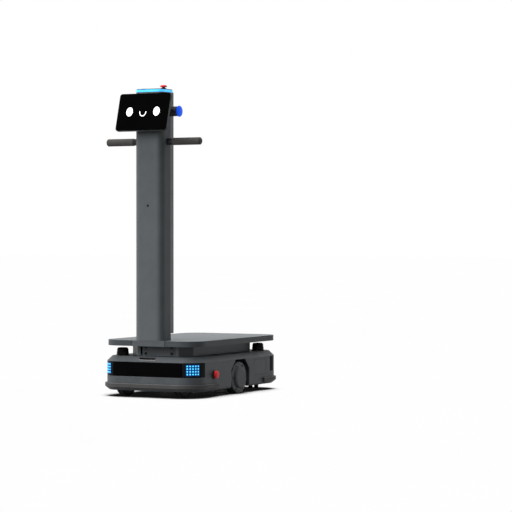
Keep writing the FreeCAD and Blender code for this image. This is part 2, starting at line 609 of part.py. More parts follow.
def make_column():
    """Foot, bracket, spine, front shell, rear cover, light ring and cap."""
    riser = span("foot_riser", (-68, 68), ("-408", "-334"), ("deck_top", "deck_top + 30"))
    plate = span("foot_plate", ("-foot_half", "foot_half"), ("-foot_front", "-foot_back"),
                 ("skirt_top", "deck_top"))
    socket = span("foot_socket", ("-spine_half", "spine_half"), ("-spine_front", "-spine_back"),
                  ("deck_top", "deck_top + 40"))
    keep("column_foot", cut("foot", fuse("foot_solid", plate, riser), socket))
    keep("column_bracket", span("bracket_plate", (-87, 87), ("-bracket_front", "7 - bracket_front"),
                                ("shell_top + 3", "skirt_top")))
    bolts = [rod(f"bolt_{n}", 4.5, 3, (x, "-bracket_front", z), "-y")
             for n, (x, z) in enumerate(((-69.5, 196), (69.5, 196), (-69.5, 226.5), (69.5, 226.5)))]
    keep("bracket_bolts", fuse("bolt_group", *bolts))

    bar_hole = rod("bar_hole", "bar_radius", 200, (-100, "-handle_y", "handle_z"), "x")
    spine = cut("spine", span("spine_outer", ("-spine_half", "spine_half"), ("-spine_front", "-spine_back"),
                              ("deck_top", "column_top - spine_wall * 2")),
                span("spine_inner", ("-spine_half + spine_wall", "spine_half - spine_wall"),
                     ("-spine_front + spine_wall", "-spine_back - spine_wall"), (0, 1500)), bar_hole)
    keep("column_spine", spine)

    outer, _ = column_prism("shell_o", 0, "deck_top", "column_top")
    inner, _ = column_prism("shell_i", "column_wall", "deck_top", "column_top")
    keep("column_shell", cut("column_front_shell", outer, inner, bar_hole,
                             rod("lens_hole", 5.5, 12, (0, "-column_front - 4", "lens_z"), "y")))
    _, cover_out = column_prism("cover_o", 0, "cover_foot", "column_top", rear_end="cover_rear")
    _, cover_in = column_prism("cover_i", "column_wall", "cover_foot", "column_top - column_wall",
                               "column_wall", "cover_rear")
    _, cover_mouth = column_prism("cover_m", "column_wall", "column_top - 2 * column_wall", "column_top",
                                  "column_wall")
    keep("column_cover", cut("column_rear_cover", cover_out, cover_in, cover_mouth))
    keep("column_lens", rod("lens", 5.5, 4, (0, "-column_front - 0.5", "lens_z"), "y"))

    ring_out = fuse("ring_out", *column_prism("ring_o", 0, "column_top", "column_top + ring_height"))
    ring_in = fuse("ring_in", *column_prism("ring_i", "ring_thick", "column_top",
                                            "column_top + ring_height", 3))
    keep("light_ring", cut("ring", ring_out, ring_in))
    top = "column_top + ring_height"
    plate = fuse("cap_plate", *column_prism("cap_p", 2, top, f"{top} + cap_plate", 4))
    plug = fuse("cap_plug", *column_prism("cap_q", "ring_thick", "column_top - spine_wall * 2", top, 3))
    hole = rod("estop_top_hole", 10, 60, (44, "-358", "column_top - 20"))
    keep("column_cap", cut("cap", fuse("cap_solid", plate, plug), hole))
    keep("antenna_puck", turned("puck", [(0, 0), (23, 0), (23, 1.5), (21, 3.2), (0, 4)],
                                (-42, "-372", f"{top} + cap_plate")))


def make_handle():
    """The cross bar through the column with its collars and rubber grips."""
    bar = cut("bar_tube", rod("bar_outer", "bar_radius", "2 * bar_end", ("-bar_end", "-handle_y", "handle_z"), "x"),
              rod("bar_inner", "bar_radius - 2.5", "2 * bar_end + 4",
                  ("-bar_end - 2", "-handle_y", "handle_z"), "x"))
    keep("handle_bar", bar)
    collars = []
    for side, sign, turn in sides():
        axis = (0, "-handle_y", "handle_z")
        collars.append(turned(f"collar_{side}", [
            ("bar_radius", "column_width / 2"), (15.5, "column_width / 2"), (15.5, "grip_start - 4"),
            (14, "grip_start"), ("bar_radius", "grip_start")], axis, turn))
        keep(f"grip_{side}", turned(f"grip_sleeve_{side}", [
            ("bar_radius", "grip_start"), ("grip_radius - 3", "grip_start"),
            ("grip_radius", "grip_start + 5"), ("grip_radius", "grip_end"),
            ("grip_radius - 4", "grip_end + 4"), (0, "grip_end + 4"), (0, "bar_end"),
            ("bar_radius", "bar_end")], axis, turn))
    keep("handle_collars", fuse("collar_group", *collars))


def make_controls():
    """The emergency stops and the round push button on the column."""
    cap_top = "column_top + ring_height + cap_plate"
    bezels = [turned("top_bezel", [(7, -14), (10, -14), (10, 0), (13, 0), (13, 4.5), (12, 5.5), (7, 5.5)],
                     (44, "-358", cap_top))]
    keep("top_estop_head", turned("top_head", [
        (0, -8), (6.95, -8), (6.95, 9.7), (14, 9.7), (15.5, 11), (15.5, 14.5), (14, 17.5),
        (10, 19.1), (0, 19.5)], (44, "-358", cap_top)))
    for side, sign, turn in sides():
        face = (0, "-estop_y", "estop_z")
        bezels.append(turned(f"side_bezel_{side}", [
            (8, "shell_width / 2 - 16"), ("estop_sleeve", "shell_width / 2 - 16"),
            ("estop_sleeve", "shell_width / 2"), (21, "shell_width / 2"),
            (20, "shell_width / 2 + 3"), (8, "shell_width / 2 + 3")], face, turn))
        keep(f"side_estop_{side}", turned(f"side_head_{side}", [
            (0, "shell_width / 2 - 10"), (7.95, "shell_width / 2 - 10"), (7.95, "shell_width / 2 + 7.5"),
            (14, "shell_width / 2 + 7.5"), (18.5, "shell_width / 2 + 9"), (18.5, "shell_width / 2 + 15"),
            (16, "shell_width / 2 + 19"), (10, "shell_width / 2 + 21"), (0, "shell_width / 2 + 21.5")],
            face, turn))
    keep("estop_bezels", fuse("bezel_group", *bezels))
    axis = (0, "-handle_y", "button_z")
    keep("button_barrel", turned("barrel", [
        (0, "column_width / 2"), ("barrel_radius", "column_width / 2"),
        ("barrel_radius", "barrel_end - 2"), ("barrel_radius - 1.5", "barrel_end"), (15, "barrel_end"),
        (15, "barrel_end - 14"), (0, "barrel_end - 14")], axis, "x"))
    keep("push_button", turned("button_dome", [
        (0, "barrel_end - 10"), (14.95, "barrel_end - 10"), (14.95, "barrel_end + 4.5"),
        (23, "barrel_end + 4.5"), (25.5, "barrel_end + 6"), (25.5, "barrel_end + 9"),
        (23, "barrel_end + 12"), (17, "barrel_end + 14"), (0, "barrel_end + 15.5")], axis, "x"))


# ---------------------------------------------------------------- display

def display_frame(offset):
    """Placement of a point given across, up and ahead of the middle of the display's back."""
    turn = Rotation(Vector(1, 0, 0), 90 - value("display_tilt"))
    back = Vector(0, value("axle_y - display_y"), value("display_z"))
    return Placement(back + turn.multVec(offset), turn)


def display_slab(name, shrink, start, depth):
    """A rounded plate square to the display, from `start` ahead of its back."""
    sketch = doc.addObject("Sketcher::SketchObject", name + "_plan")
    draw_rounded(sketch, f"display_width / 2 - {shrink}", f"display_height / 2 - {shrink}",
                 f"display_corner - {shrink}")
    sketch.Placement = display_frame(Vector(0, 0, value(start)))
    return extrude(name, sketch, depth)


def make_display():
    """Fixed bracket with its pin, and the display that tilts on it."""
    hinge = display_frame(Vector(0, 0, -value("hinge_reach"))).Base
    y = f"{hinge.y - value('axle_y'):.4f}"
    z = f"{hinge.z:.4f}"
    plate = span("hinge_plate", (-36, 36), ("-column_front - 5", "-column_front"), (f"{z} - 30", f"{z} + 30"))
    ears = []
    for side, sign, turn in sides():
        low, high = (22, 30) if sign > 0 else (-30, -22)
        ears.append(span(f"ear_web_{side}", (low, high), (y, "-column_front - 4"), (f"{z} - 9", f"{z} + 9")))
        ears.append(rod(f"ear_eye_{side}", 9, 8, (f"{sign} * 22", y, z), turn))
    pin = rod("tilt_pin", "hinge_pin", 60, (-30, y, z), "x")
    keep("display_bracket", fuse("tilt_bracket", plate, pin, *ears))

    case = display_slab("display_case", "0", 0, "display_depth")
    knuckle = rod("knuckle", "knuckle_radius", "2 * knuckle_half", ("-knuckle_half", y, z), "x")
    web = doc.addObject("Part::Box", "knuckle_web")
    for prop, length in zip(("Length", "Width", "Height"),
                            ("2 * knuckle_half", "2 * knuckle_radius", "hinge_reach")):
        web.setExpression(prop, bound(length))
    web.Placement = display_frame(Vector(-value("knuckle_half"), -value("knuckle_radius"),
                                         -value("hinge_reach")))
    bore = rod("knuckle_bore", "hinge_bore", 80, (-40, y, z), "x")
    keep("display_housing", cut("housing", fuse("housing_solid", case, knuckle, web), bore))
    keep("display_glass", display_slab("display_front", "0.8", "display_depth", "glass_depth"))


def check_and_export():
    """Refuse a failed or empty object, then write every piece."""
    doc.recompute()
    failed = [item.Name for item in doc.Objects if {"Invalid", "Error"} & set(item.State)]
    if failed:
        raise RuntimeError(f"failed objects: {failed}")
    os.makedirs("parts", exist_ok=True)
    for name, item in nodes.items():
        shape = item.Shape
        if shape.isNull() or not shape.isValid() or not shape.Solids:
            raise RuntimeError(f"{name} has no valid solid")
        shape.exportStep(f"parts/{name}.step")
    print(f"{len(nodes)} pieces")


make_casing()
make_bumpers()
make_lidars()
make_frame()
keep("drive_brackets", fuse("bracket_group", *[make_drive(*unit) for unit in sides()]))
make_casters()
make_inner_units()
make_skirt()
make_lift()
make_deck()
make_column()
make_handle()
make_controls()
make_display()
check_and_export()
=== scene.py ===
"""Dress the mobile robot in its finishes, add its fittings and lamps, and set up a plain studio."""

import json
import logging
import math
from dataclasses import dataclass
from enum import Enum
from typing import Any, Iterable, Sequence

import bpy
from mathutils import Matrix, Vector

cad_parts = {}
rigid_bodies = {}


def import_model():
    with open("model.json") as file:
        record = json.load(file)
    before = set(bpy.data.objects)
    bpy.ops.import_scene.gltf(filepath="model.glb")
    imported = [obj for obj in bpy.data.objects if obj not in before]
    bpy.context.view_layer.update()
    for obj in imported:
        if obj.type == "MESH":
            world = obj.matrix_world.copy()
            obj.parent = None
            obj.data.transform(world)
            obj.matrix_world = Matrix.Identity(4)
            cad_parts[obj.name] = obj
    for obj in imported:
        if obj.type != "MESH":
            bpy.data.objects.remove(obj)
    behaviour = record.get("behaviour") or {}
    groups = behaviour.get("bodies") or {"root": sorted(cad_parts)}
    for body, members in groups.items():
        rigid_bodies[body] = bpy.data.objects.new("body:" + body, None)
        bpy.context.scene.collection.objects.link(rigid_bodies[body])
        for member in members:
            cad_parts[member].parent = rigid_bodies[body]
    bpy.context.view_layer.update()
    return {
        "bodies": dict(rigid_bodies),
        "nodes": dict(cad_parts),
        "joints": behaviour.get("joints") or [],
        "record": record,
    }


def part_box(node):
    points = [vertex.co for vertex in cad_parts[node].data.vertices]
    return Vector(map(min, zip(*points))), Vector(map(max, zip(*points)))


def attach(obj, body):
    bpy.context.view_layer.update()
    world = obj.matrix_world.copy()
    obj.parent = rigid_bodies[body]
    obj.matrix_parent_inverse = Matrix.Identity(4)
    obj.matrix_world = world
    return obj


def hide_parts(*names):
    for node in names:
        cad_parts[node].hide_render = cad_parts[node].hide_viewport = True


LOG = logging.getLogger("mobile_robot")
MM = 0.001

Tree = bpy.types.NodeTree
Node = bpy.types.Node
Socket = bpy.types.NodeSocket
Colour = tuple[float, float, float, float]
Points = list[Vector]
Faces = list[tuple[int, ...]]
Part = tuple[Points, Faces]
Profile = Sequence[tuple[float, float]]


def linear(code: str) -> Colour:
    """Turn an sRGB hex code into a linear colour.

    Args:
        code: The colour as "#RRGGBB".

    Returns:
        Red, green, blue and alpha, linear.
    """
    channels = [int(code[i:i + 2], 16) / 255 for i in (1, 3, 5)]
    red, green, blue = (c / 12.92 if c <= 0.04045 else ((c + 0.055) / 1.055) ** 2.4
                        for c in channels)
    return (red, green, blue, 1.0)


def add_node(tree: Tree, kind: str, values: dict[Any, Any] | None = None,
             links: dict[Any, Any] | None = None) -> Node:
    """Add one node to a tree, set it up and link it.

    Args:
        tree: The tree that gets the node.
        kind: The node's type name.
        values: Settings by input name, input number or property name.
        links: Output sockets to join, by input name or number.

    Returns:
        The new node.
    """
    node = tree.nodes.new(kind)
    properties = {key: value for key, value in (values or {}).items()
                  if isinstance(key, str) and hasattr(node, key)}
    for key, value in properties.items():
        setattr(node, key, value)
    for key, value in (values or {}).items():
        if key not in properties:
            node.inputs[key].default_value = value
    for key, socket in (links or {}).items():
        tree.links.new(socket, node.inputs[key])
    return node


# ---------------------------------------------------------------- finishes

# The part of its range in which a noise really varies.
NOISE_RANGE = (0.35, 0.65)
# Cosines between the flat and the rounded normal where an edge starts and ends to take its edge colour, partly
# wear and partly painted highlight.
WORN_AND_HIGHLIT_RANGE = (0.995, 0.88)
# Rises of the normal from which a face starts to take the painted top light, and wholly does.
TOP_LIGHT_RANGE = (0.7, 0.95)
# How far the roughness swings about its middle, and the least it may be.
ROUGHNESS_SWING = 0.06
ROUGHNESS_LEAST = 0.02
# How many rays round an edge.
EDGE_SAMPLES = 4
# Ground marks are long along X and narrow across it.
GROUND_STRETCH = (0.05, 1.0, 1.0)


def new_material(label: str) -> bpy.types.Material:
    """Make a material whose node tree is empty.

    Args:
        label: The material's name.

    Returns:
        The new material.
    """
    material = bpy.data.materials.new(label)
    material.use_nodes = True
    material.node_tree.nodes.clear()
    return material


def clouded(tree: Tree, place: Socket, tones: tuple[str, str], width_mm: float,
            detail: float, roughness: float) -> Node:
    """Mix two colours by soft clouds.

    Args:
        tree: The material's tree.
        place: Where on the piece the surface point lies.
        tones: The two colours, as hex codes.
        width_mm: How wide a cloud is.
        detail: How far the clouds break up.
        roughness: How strong their finest part is.

    Returns:
        The node that mixes the colours.
    """
    cloud = add_node(tree, "ShaderNodeTexNoise", {
        "Scale": 1 / (width_mm * MM), "Detail": detail, "Roughness": roughness}, {"Vector": place})
    amount = add_node(tree, "ShaderNodeMapRange", {
        "From Min": NOISE_RANGE[0], "From Max": NOISE_RANGE[1]}, {"Value": cloud.outputs["Fac"]})
    return add_node(tree, "ShaderNodeMix", {
        "data_type": "RGBA", 6: linear(tones[0]), 7: linear(tones[1])}, {0: amount.outputs[0]})


class Texture(Enum):
    """How a surface was made, which sets the pattern of its relief."""

    ORANGE_PEEL = "sprayed and baked powder"
    SPARK_GRAIN = "moulded against a spark-eroded tool"
    GROUND = "drawn or ground along its length"
    CAST = "die cast and left as it came"
    POLISHED = "moulded against a polished tool"


@dataclass(frozen=True)
class Finish:
    """One real material with one surface, as the shader needs it.

    The two colours are the extremes of its slow colour drift. The edge colour shows where an edge
    is rubbed and is also a painted highlight there. The top colour, when given, is painted top
    light: a paler colour on faces that look up.
    """

    label: str
    colour: str
    drift: str
    worn: str
    texture: Texture
    grain_mm: float
    relief_mm: float
    roughness: float
    metallic: float = 0.0
    ior: float = 1.5
    specular: float = 0.2
    coat: float = 0.0
    coat_roughness: float = 0.08
    edge_mm: float = 1.0
    wear: float = 0.5
    drift_mm: float = 60.0
    trodden: str = ""

    def material(self) -> bpy.types.Material:
        """Return the material of this finish, made the first time it is asked for."""
        return bpy.data.materials.get(self.label) or self.build()

    def build(self) -> bpy.types.Material:
        """Make the material.

        Returns:
            A new material named after the finish.
        """
        material = new_material(self.label)
        tree = material.node_tree
        place = add_node(tree, "ShaderNodeTexCoord").outputs["Object"]
        if self.texture is Texture.GROUND:
            place = add_node(tree, "ShaderNodeMapping", {"Scale": GROUND_STRETCH},
                             {"Vector": place}).outputs[0]
        colour = self.colours(tree, place)
        relief = self.relief(tree, place)
        shade = add_node(tree, "ShaderNodeMapRange", {
            "To Min": max(self.roughness - ROUGHNESS_SWING, ROUGHNESS_LEAST),
            "To Max": min(self.roughness + ROUGHNESS_SWING, 1.0)}, {"Value": relief}).outputs[0]
        rounded = add_node(tree, "ShaderNodeBevel", {
            "samples": EDGE_SAMPLES, "Radius": self.edge_mm * MM})
        normal = add_node(tree, "ShaderNodeBump", {
            "Strength": 1.0, "Distance": self.relief_mm * MM,
        }, {"Height": relief, "Normal": rounded.outputs[0]}).outputs[0]
        shader = add_node(tree, "ShaderNodeBsdfPrincipled", {
            "Metallic": self.metallic, "IOR": self.ior, "Specular IOR Level": self.specular,
            "Coat Weight": self.coat, "Coat Roughness": self.coat_roughness,
        }, {"Base Color": colour, "Roughness": shade, "Normal": normal})
        add_node(tree, "ShaderNodeOutputMaterial", links={"Surface": shader.outputs[0]})
        return material

    def colours(self, tree: Tree, place: Socket) -> Socket:
        """Draw the slow colour drift, the painted top light on faces that look up, and the edges, rubbed and
        painted as highlights.

        Args:
            tree: The material's tree.
            place: Where on the piece the surface point lies.

        Returns:
            The colour socket.
        """
        body = clouded(tree, place, (self.colour, self.drift), self.drift_mm, 4.0, 0.6)
        edge = add_node(tree, "ShaderNodeBevel", {
            "samples": EDGE_SAMPLES, "Radius": self.edge_mm * MM})
        flat = add_node(tree, "ShaderNodeNewGeometry")
        # faces that look up get a paler colour: painted top light
        if self.trodden:
            body = self.tread_on(tree, body, flat)
        likeness = add_node(tree, "ShaderNodeVectorMath", {"operation": "DOT_PRODUCT"}, {
            0: edge.outputs[0], 1: flat.outputs["Normal"]})
        # edges take the edge colour: partly rubbed paint, partly painted highlight
        mask = add_node(tree, "ShaderNodeMapRange", {
            "From Min": WORN_AND_HIGHLIT_RANGE[0], "From Max": WORN_AND_HIGHLIT_RANGE[1], "To Max": self.wear,
        }, {"Value": likeness.outputs["Value"]})
        return add_node(tree, "ShaderNodeMix", {"data_type": "RGBA", 7: linear(self.worn)}, {
            0: mask.outputs[0], 6: body.outputs[2]}).outputs[2]

    def tread_on(self, tree: Tree, body: Node, flat: Node) -> Node:
        """Paint top light on the faces that look up, in a paler colour.

        Args:
            tree: The material's tree.
            body: The node that mixes the paint's own colours.
            flat: The geometry node, for the true normal.

        Returns:
            The node that mixes the paint with its painted top light.
        """
        rise = add_node(tree, "ShaderNodeSeparateXYZ", links={0: flat.outputs["True Normal"]})
        level = add_node(tree, "ShaderNodeMapRange", {
            "From Min": TOP_LIGHT_RANGE[0], "From Max": TOP_LIGHT_RANGE[1]}, {"Value": rise.outputs["Z"]})
        return add_node(tree, "ShaderNodeMix", {"data_type": "RGBA", 7: linear(self.trodden)}, {
            0: level.outputs[0], 6: body.outputs[2]})

    def relief(self, tree: Tree, place: Socket) -> Socket:
        """Draw the height pattern that the making left.

        Args:
            tree: The material's tree.
            place: Where on the piece the surface point lies.

        Returns:
            The height socket, from 0 to 1.
        """
        scale = 1 / (self.grain_mm * MM)
        if self.texture is Texture.SPARK_GRAIN:
            cells = add_node(tree, "ShaderNodeTexVoronoi", {
                "feature": "SMOOTH_F1", "Scale": scale, "Smoothness": 0.6}, {"Vector": place})
            return cells.outputs["Distance"]
        detail = 2.0 if self.texture is Texture.ORANGE_PEEL else 6.0
        noise = add_node(tree, "ShaderNodeTexNoise", {
            "Scale": scale, "Detail": detail, "Roughness": 0.5}, {"Vector": place})
        return noise.outputs["Fac"]


@dataclass(frozen=True)
class Glow:
    """A lit face: a frosted or printed diffuser, brightest where its lamps stand."""

    label: str
    colour: str
    dim: str
    strength: float
    pitch_mm: float
    gloss: float = 0.3
    specular: float = 0.1

    def material(self) -> bpy.types.Material:
        """Return the material of this lamp, made the first time it is asked for."""
        return bpy.data.materials.get(self.label) or self.build()

    def build(self) -> bpy.types.Material:
        """Make the material.

        Returns:
            A new material named after the lamp.
        """
        material = new_material(self.label)
        tree = material.node_tree
        place = add_node(tree, "ShaderNodeTexCoord").outputs["Object"]
        light = clouded(tree, place, (self.dim, self.colour), self.pitch_mm, 1.0, 0.5)
        shader = add_node(tree, "ShaderNodeBsdfPrincipled", {
            "Base Color": linear(self.dim), "Roughness": self.gloss,
            "Emission Strength": self.strength, "Specular IOR Level": self.specular,
        }, {"Emission Color": light.outputs[2]})
        add_node(tree, "ShaderNodeOutputMaterial", links={"Surface": shader.outputs[0]})
        return material


# Polyester powder coat on sheet steel: a dry satin with a faint orange peel, paler at an edge,
# partly thin powder and partly painted highlight.
PAINTED_STEEL = Finish(
    "polyester powder coat on sheet steel", "#5A5E61", "#5E6265", "#83878A",
    Texture.ORANGE_PEEL, 1.6, 0.05, 0.42, specular=0.06)
# The deck wears the same powder; its top is painted paler as painted top light, and its folded
# edge keeps the dark paint.
DECK_STEEL = Finish(
    "powder coat on the rubbed deck plate", "#434749", "#484C4F", "#8D9194",
    Texture.ORANGE_PEEL, 1.6, 0.05, 0.45, specular=0.12, wear=0.6, trodden="#606467")
# The column's foot lies flush in the deck and wears the same dark paint on its edge; its top is painted paler as
# painted top light.
FOOT_STEEL = Finish(
    "powder coat on the column foot", "#4D5154", "#53575A", "#83878A",
    Texture.ORANGE_PEEL, 1.6, 0.05, 0.45, trodden="#606467")
# The raised frame is sprayed with the same powder, a little glossier where no hand dulls it.
SKIRT_STEEL = Finish(
    "powder coat on the raised frame", "#5C6063", "#606467", "#83878A",
    Texture.ORANGE_PEEL, 1.6, 0.05, 0.42)
# The rear cover is a shade lighter than the front shell.
COVER_STEEL = Finish(
    "light grey powder coat on folded steel", "#74777A", "#7B7E81", "#94979A",
    Texture.ORANGE_PEEL, 1.6, 0.05, 0.45)
# Black e-coat on welded steel: thin, even and slightly greasy in its shine.
FRAME_STEEL = Finish(
    "electrocoated welded steel", "#33363A", "#3A3D40", "#5A5D60",
    Texture.ORANGE_PEEL, 2.5, 0.04, 0.5)
# Spark-textured ABS: matt, since its fine pits scatter the light. Pits of 0.1 mm are drawn 1.2 mm
# wide to show.
CASING_ABS = Finish(
    "spark textured moulded ABS", "#494D50", "#505457", "#7C8083",
    Texture.SPARK_GRAIN, 1.2, 0.05, 0.5, edge_mm=1.6)
# Moulded polyamide of small fittings, matt and near black.
FITTING_PA = Finish(
    "moulded black polyamide", "#232527", "#292B2D", "#45484A",
    Texture.SPARK_GRAIN, 1.0, 0.04, 0.48)
# The display's back and rim: soft satin polycarbonate.
HOUSING_PC = Finish(
    "satin moulded polycarbonate", "#3B3E41", "#414447", "#6A6D70",
    Texture.SPARK_GRAIN, 0.9, 0.03, 0.42)
# Polyurethane bumper skin over foam: matt, with a lighter rim that is partly wear and mostly painted highlight.
BUMPER_SKIN = Finish(
    "moulded polyurethane bumper skin", "#444445", "#4B4A49", "#8A8987",
    Texture.SPARK_GRAIN, 2.0, 0.06, 0.62, edge_mm=3.0, wear=0.8)
# Thermoplastic rubber grips, dull and dark with a brown cast.
GRIP_RUBBER = Finish(
    "moulded thermoplastic rubber", "#464443", "#4D4B4A", "#5E5C5A",
    Texture.SPARK_GRAIN, 1.4, 0.06, 0.66)
# Polyurethane tyre: matt, dusty in the tread.
TYRE_PU = Finish(
    "cast polyurethane tyre", "#2A2B2C", "#3A3A39", "#4E4D4B",
    Texture.CAST, 3.0, 0.12, 0.72, drift_mm=14.0)
# Rubber tread of the casters: dull, with dusty patches.
TREAD_RUBBER = Finish(
    "black rubber tread", "#1E1F20", "#2A2A2A", "#3C3B3A",
    Texture.CAST, 2.5, 0.1, 0.7, drift_mm=10.0)
# Hub caps of glass-filled polyamide, satin with a slight fibre bloom.
CAP_PA = Finish(
    "glass filled polyamide", "#3C3F41", "#444749", "#66696B",
    Texture.SPARK_GRAIN, 1.4, 0.05, 0.48)
# Zinc-plated pressed steel: bright, with the cloudy bloom of the plating.
ZINC_STEEL = Finish(
    "zinc plated pressed steel", "#8E9092", "#A5A7A8", "#C4C6C8",
    Texture.CAST, 1.5, 0.02, 0.34, metallic=1.0, drift_mm=8.0)
# Ground and hard-chromed rods: streaks of 0.05 mm are drawn 0.6 mm wide to show.
GROUND_STEEL = Finish(
    "ground chromed steel", "#A7A9AB", "#B7B9BB", "#D0D2D4",
    Texture.GROUND, 0.6, 0.01, 0.2, metallic=1.0)
# Die-cast aluminium: dull silver with a fine flow pattern.
CAST_ALUMINIUM = Finish(
    "die cast aluminium", "#7D7F82", "#8B8D90", "#B0B2B4",
    Texture.CAST, 2.0, 0.06, 0.45, metallic=1.0, drift_mm=20.0)
# Black oxide on screws: dark and slightly blue, with bare corners.
SCREW_OXIDE = Finish(
    "black oxide on alloy steel", "#0C0D0E", "#131415", "#3A3C3E",
    Texture.GROUND, 0.5, 0.01, 0.45, edge_mm=0.3)
# Black acrylic window: dead black and glossy; its paler edge is a painted highlight.
WINDOW_PMMA = Finish(
    "polished black acrylic", "#030304", "#050506", "#1A1B1D",
    Texture.POLISHED, 30.0, 0.002, 0.12, ior=1.49, specular=0.02)
# Lamp cover of smoked acrylic, dark blue-black where the lamps shine through.
LAMP_PMMA = Finish(
    "smoked acrylic lamp cover", "#161718", "#1B1C1D", "#3A3D40",
    Texture.POLISHED, 25.0, 0.002, 0.3, ior=1.49, specular=0.03)
# Painted highlight on the lip under the sensor slot: a pale, smooth and dull strip that stands for the thin light
# line there.
LIT_LIP_PAINT = Finish(
    "pale lacquer on moulded lips", "#8C8883", "#94908B", "#B0ADA9",
    Texture.ORANGE_PEEL, 1.2, 0.02, 0.5)
# Painted highlight along the bumpers' top edges: a pale strip that stands for the light line of their edge.
BUMPER_HIGHLIGHT_PAINT = Finish(
    "paler polyurethane bead", "#6C6D6D", "#737474", "#8A8B8B",
    Texture.ORANGE_PEEL, 1.2, 0.02, 0.5)
# Chemically toughened display glass over an opaque black print.
SCREEN_GLASS = Finish(
    "toughened glass over black print", "#010101", "#020202", "#2A2B2C",
    Texture.POLISHED, 40.0, 0.001, 0.12, ior=1.52, specular=0.02, edge_mm=0.6)
# Sensor turret: infra-red polycarbonate, glossy black with clear highlights.
TURRET_PC = Finish(
    "infrared polycarbonate", "#060607", "#09090A", "#303234",
    Texture.POLISHED, 20.0, 0.003, 0.16, ior=1.58, specular=0.04)
# Gloss red ABS of the stop buttons, slightly hazed by hands.
STOP_RED = Finish(
    "gloss moulded red ABS", "#FA2B30", "#FC3035", "#FF6A6E",
    Texture.POLISHED, 4.0, 0.01, 0.3, coat=0.04)

# Cyan light ring: frosted acrylic, even, with a slight glow line where the strip of lamps runs.
RING_LIGHT = Glow("frosted acrylic light ring", "#5CC2FA", "#4CB6F4", 0.95, 12.0)
# Corner lamps: small cyan lenses, near white in the middle.
LED_LENS = Glow("lit cyan lamp lens", "#5ADAFF", "#4ECCFB", 1.2, 30.0)
# The board behind the lenses glows deep blue.
LED_BOARD = Glow("blue glow behind the lamp lenses", "#1450A8", "#0F4088", 0.45, 9.0)
# The lit part of the screen, driven to full white.
SCREEN_WHITE = Glow("white screen light", "#FFFFFF", "#F6F8FA", 1.0, 15.0)
# Blue push button: lit polycarbonate dome.
BUTTON_LIGHT = Glow("lit blue polycarbonate", "#1F62F0", "#1650DC", 0.62, 18.0)


def dress(finish: Finish | Glow, *names: str) -> None:
    """Give CAD nodes a finish.

    Args:
        finish: What they are made of.
        names: The nodes' names.
    """
    for name in names:
        node = bpy.data.objects[name]
        node.data.materials.clear()
        node.data.materials.append(finish.material())
        LOG.info("%s: %s", name, finish.label)


# ---------------------------------------------------------------- shapes

# Steps of a whole turn, for wheels, for rounds, for small ones and for dots.
WHEEL_STEPS, ROUND_STEPS, SMALL_STEPS, DOT_STEPS = 96, 48, 32, 16
# Faces that meet at less than this are shaded as one.
SMOOTH_ANGLE = math.radians(35)
# Dark seam strips, which paint the shade of gaps, stand this far off the face they lie on, in mm.
SEAM_THICK = 0.15
# Frame on a face of the right side: X runs backwards, Y up and Z out of the robot.
RIGHT_FACE = Matrix(((0, 0, 1, 0), (1, 0, 0, 0), (0, 1, 0, 0), (0, 0, 0, 1)))


def stand(at: Sequence[float], axis: Sequence[float]) -> Matrix:
    """Frame of a piece that stands on a point and points along an axis.

    Args:
        at: The point, in metres.
        axis: The direction of the frame's own Z.

    Returns:
        The frame's matrix.
    """
    turn = Vector(axis).to_track_quat("Z", "Y").to_matrix().to_4x4()
    return Matrix.Translation(Vector(at)) @ turn


def polar(radius: float, turn: float, height: float) -> Vector:
    """Turn a radius and a height in mm and an angle in radians into a point in metres."""
    return Vector((radius * math.cos(turn), radius * math.sin(turn), height)) * MM


def rectangle(low: tuple[float, float], high: tuple[float, float]) -> Profile:
    """List the four corners of a rectangle in order."""
    return [low, (high[0], low[1]), high, (low[0], high[1])]


def join_rings(count: int, gaps: int) -> Faces:
    """Close the gaps between rings of points that follow one another.

    Args:
        count: How many points each ring has.
        gaps: How many gaps there are.

    Returns:
        The faces between the rings.
    """
    return [(k * count + i, k * count + (i + 1) % count,
             (k + 1) * count + (i + 1) % count, (k + 1) * count + i)
            for k in range(gaps) for i in range(count)]


def revolve(profile: Profile, frame: Matrix, steps: int = ROUND_STEPS) -> Part:
    """Turn a profile about a frame's Z.

    Args:
        profile: Radius and height of each point, in mm. A radius of 0 closes the form.
        frame: Where the form stands.
        steps: How many steps make the whole turn.

    Returns:
        Points in metres and faces.
    """
    points: Points = []
    rings: list[list[int]] = []
    for radius, height in profile:
        count = steps if radius > 0 else 1
        rings.append(list(range(len(points), len(points) + count)))
        points += [frame @ polar(radius, 2 * math.pi * i / steps, height) for i in range(count)]
    faces: Faces = []
    for low, high in zip(rings, rings[1:]):
        for i in range(steps):
            j = (i + 1) % steps
            corners = [low[i % len(low)], low[j % len(low)],
                       high[j % len(high)], high[i % len(high)]]
            faces.append(tuple(dict.fromkeys(corners)))
    return points, faces


def socket_head(frame: Matrix, radius: float, height: float, key: float) -> Part:
    """Head of a hexagon socket screw with a chamfered rim.

    Args:
        frame: Where the head's underside lies.
        radius: Radius of the head, in mm.
        height: Height of the head, in mm.
        key: Width across the flats of its socket, in mm.

    Returns:
        Points in metres and faces.
    """
    steps, chamfer, sixth = 24, height * 0.25, math.pi / 3
    socket_floor = height * 0.3
    levels = [(radius, 0.0), (radius, height - chamfer), (radius - chamfer, height),
              (0.0, height), (0.0, socket_floor)]
    points: Points = []
    for size, level in levels:
        for i in range(steps):
            turn = 2 * math.pi * i / steps
            bend = (turn + sixth / 2) % sixth - sixth / 2
            reach = size if size > 0 else key / 2 / math.cos(bend)
            points.append(frame @ polar(reach, turn, level))
    faces = join_rings(steps, len(levels) - 1)
    faces.append(tuple(range(len(points) - steps, len(points))))
    return points, faces


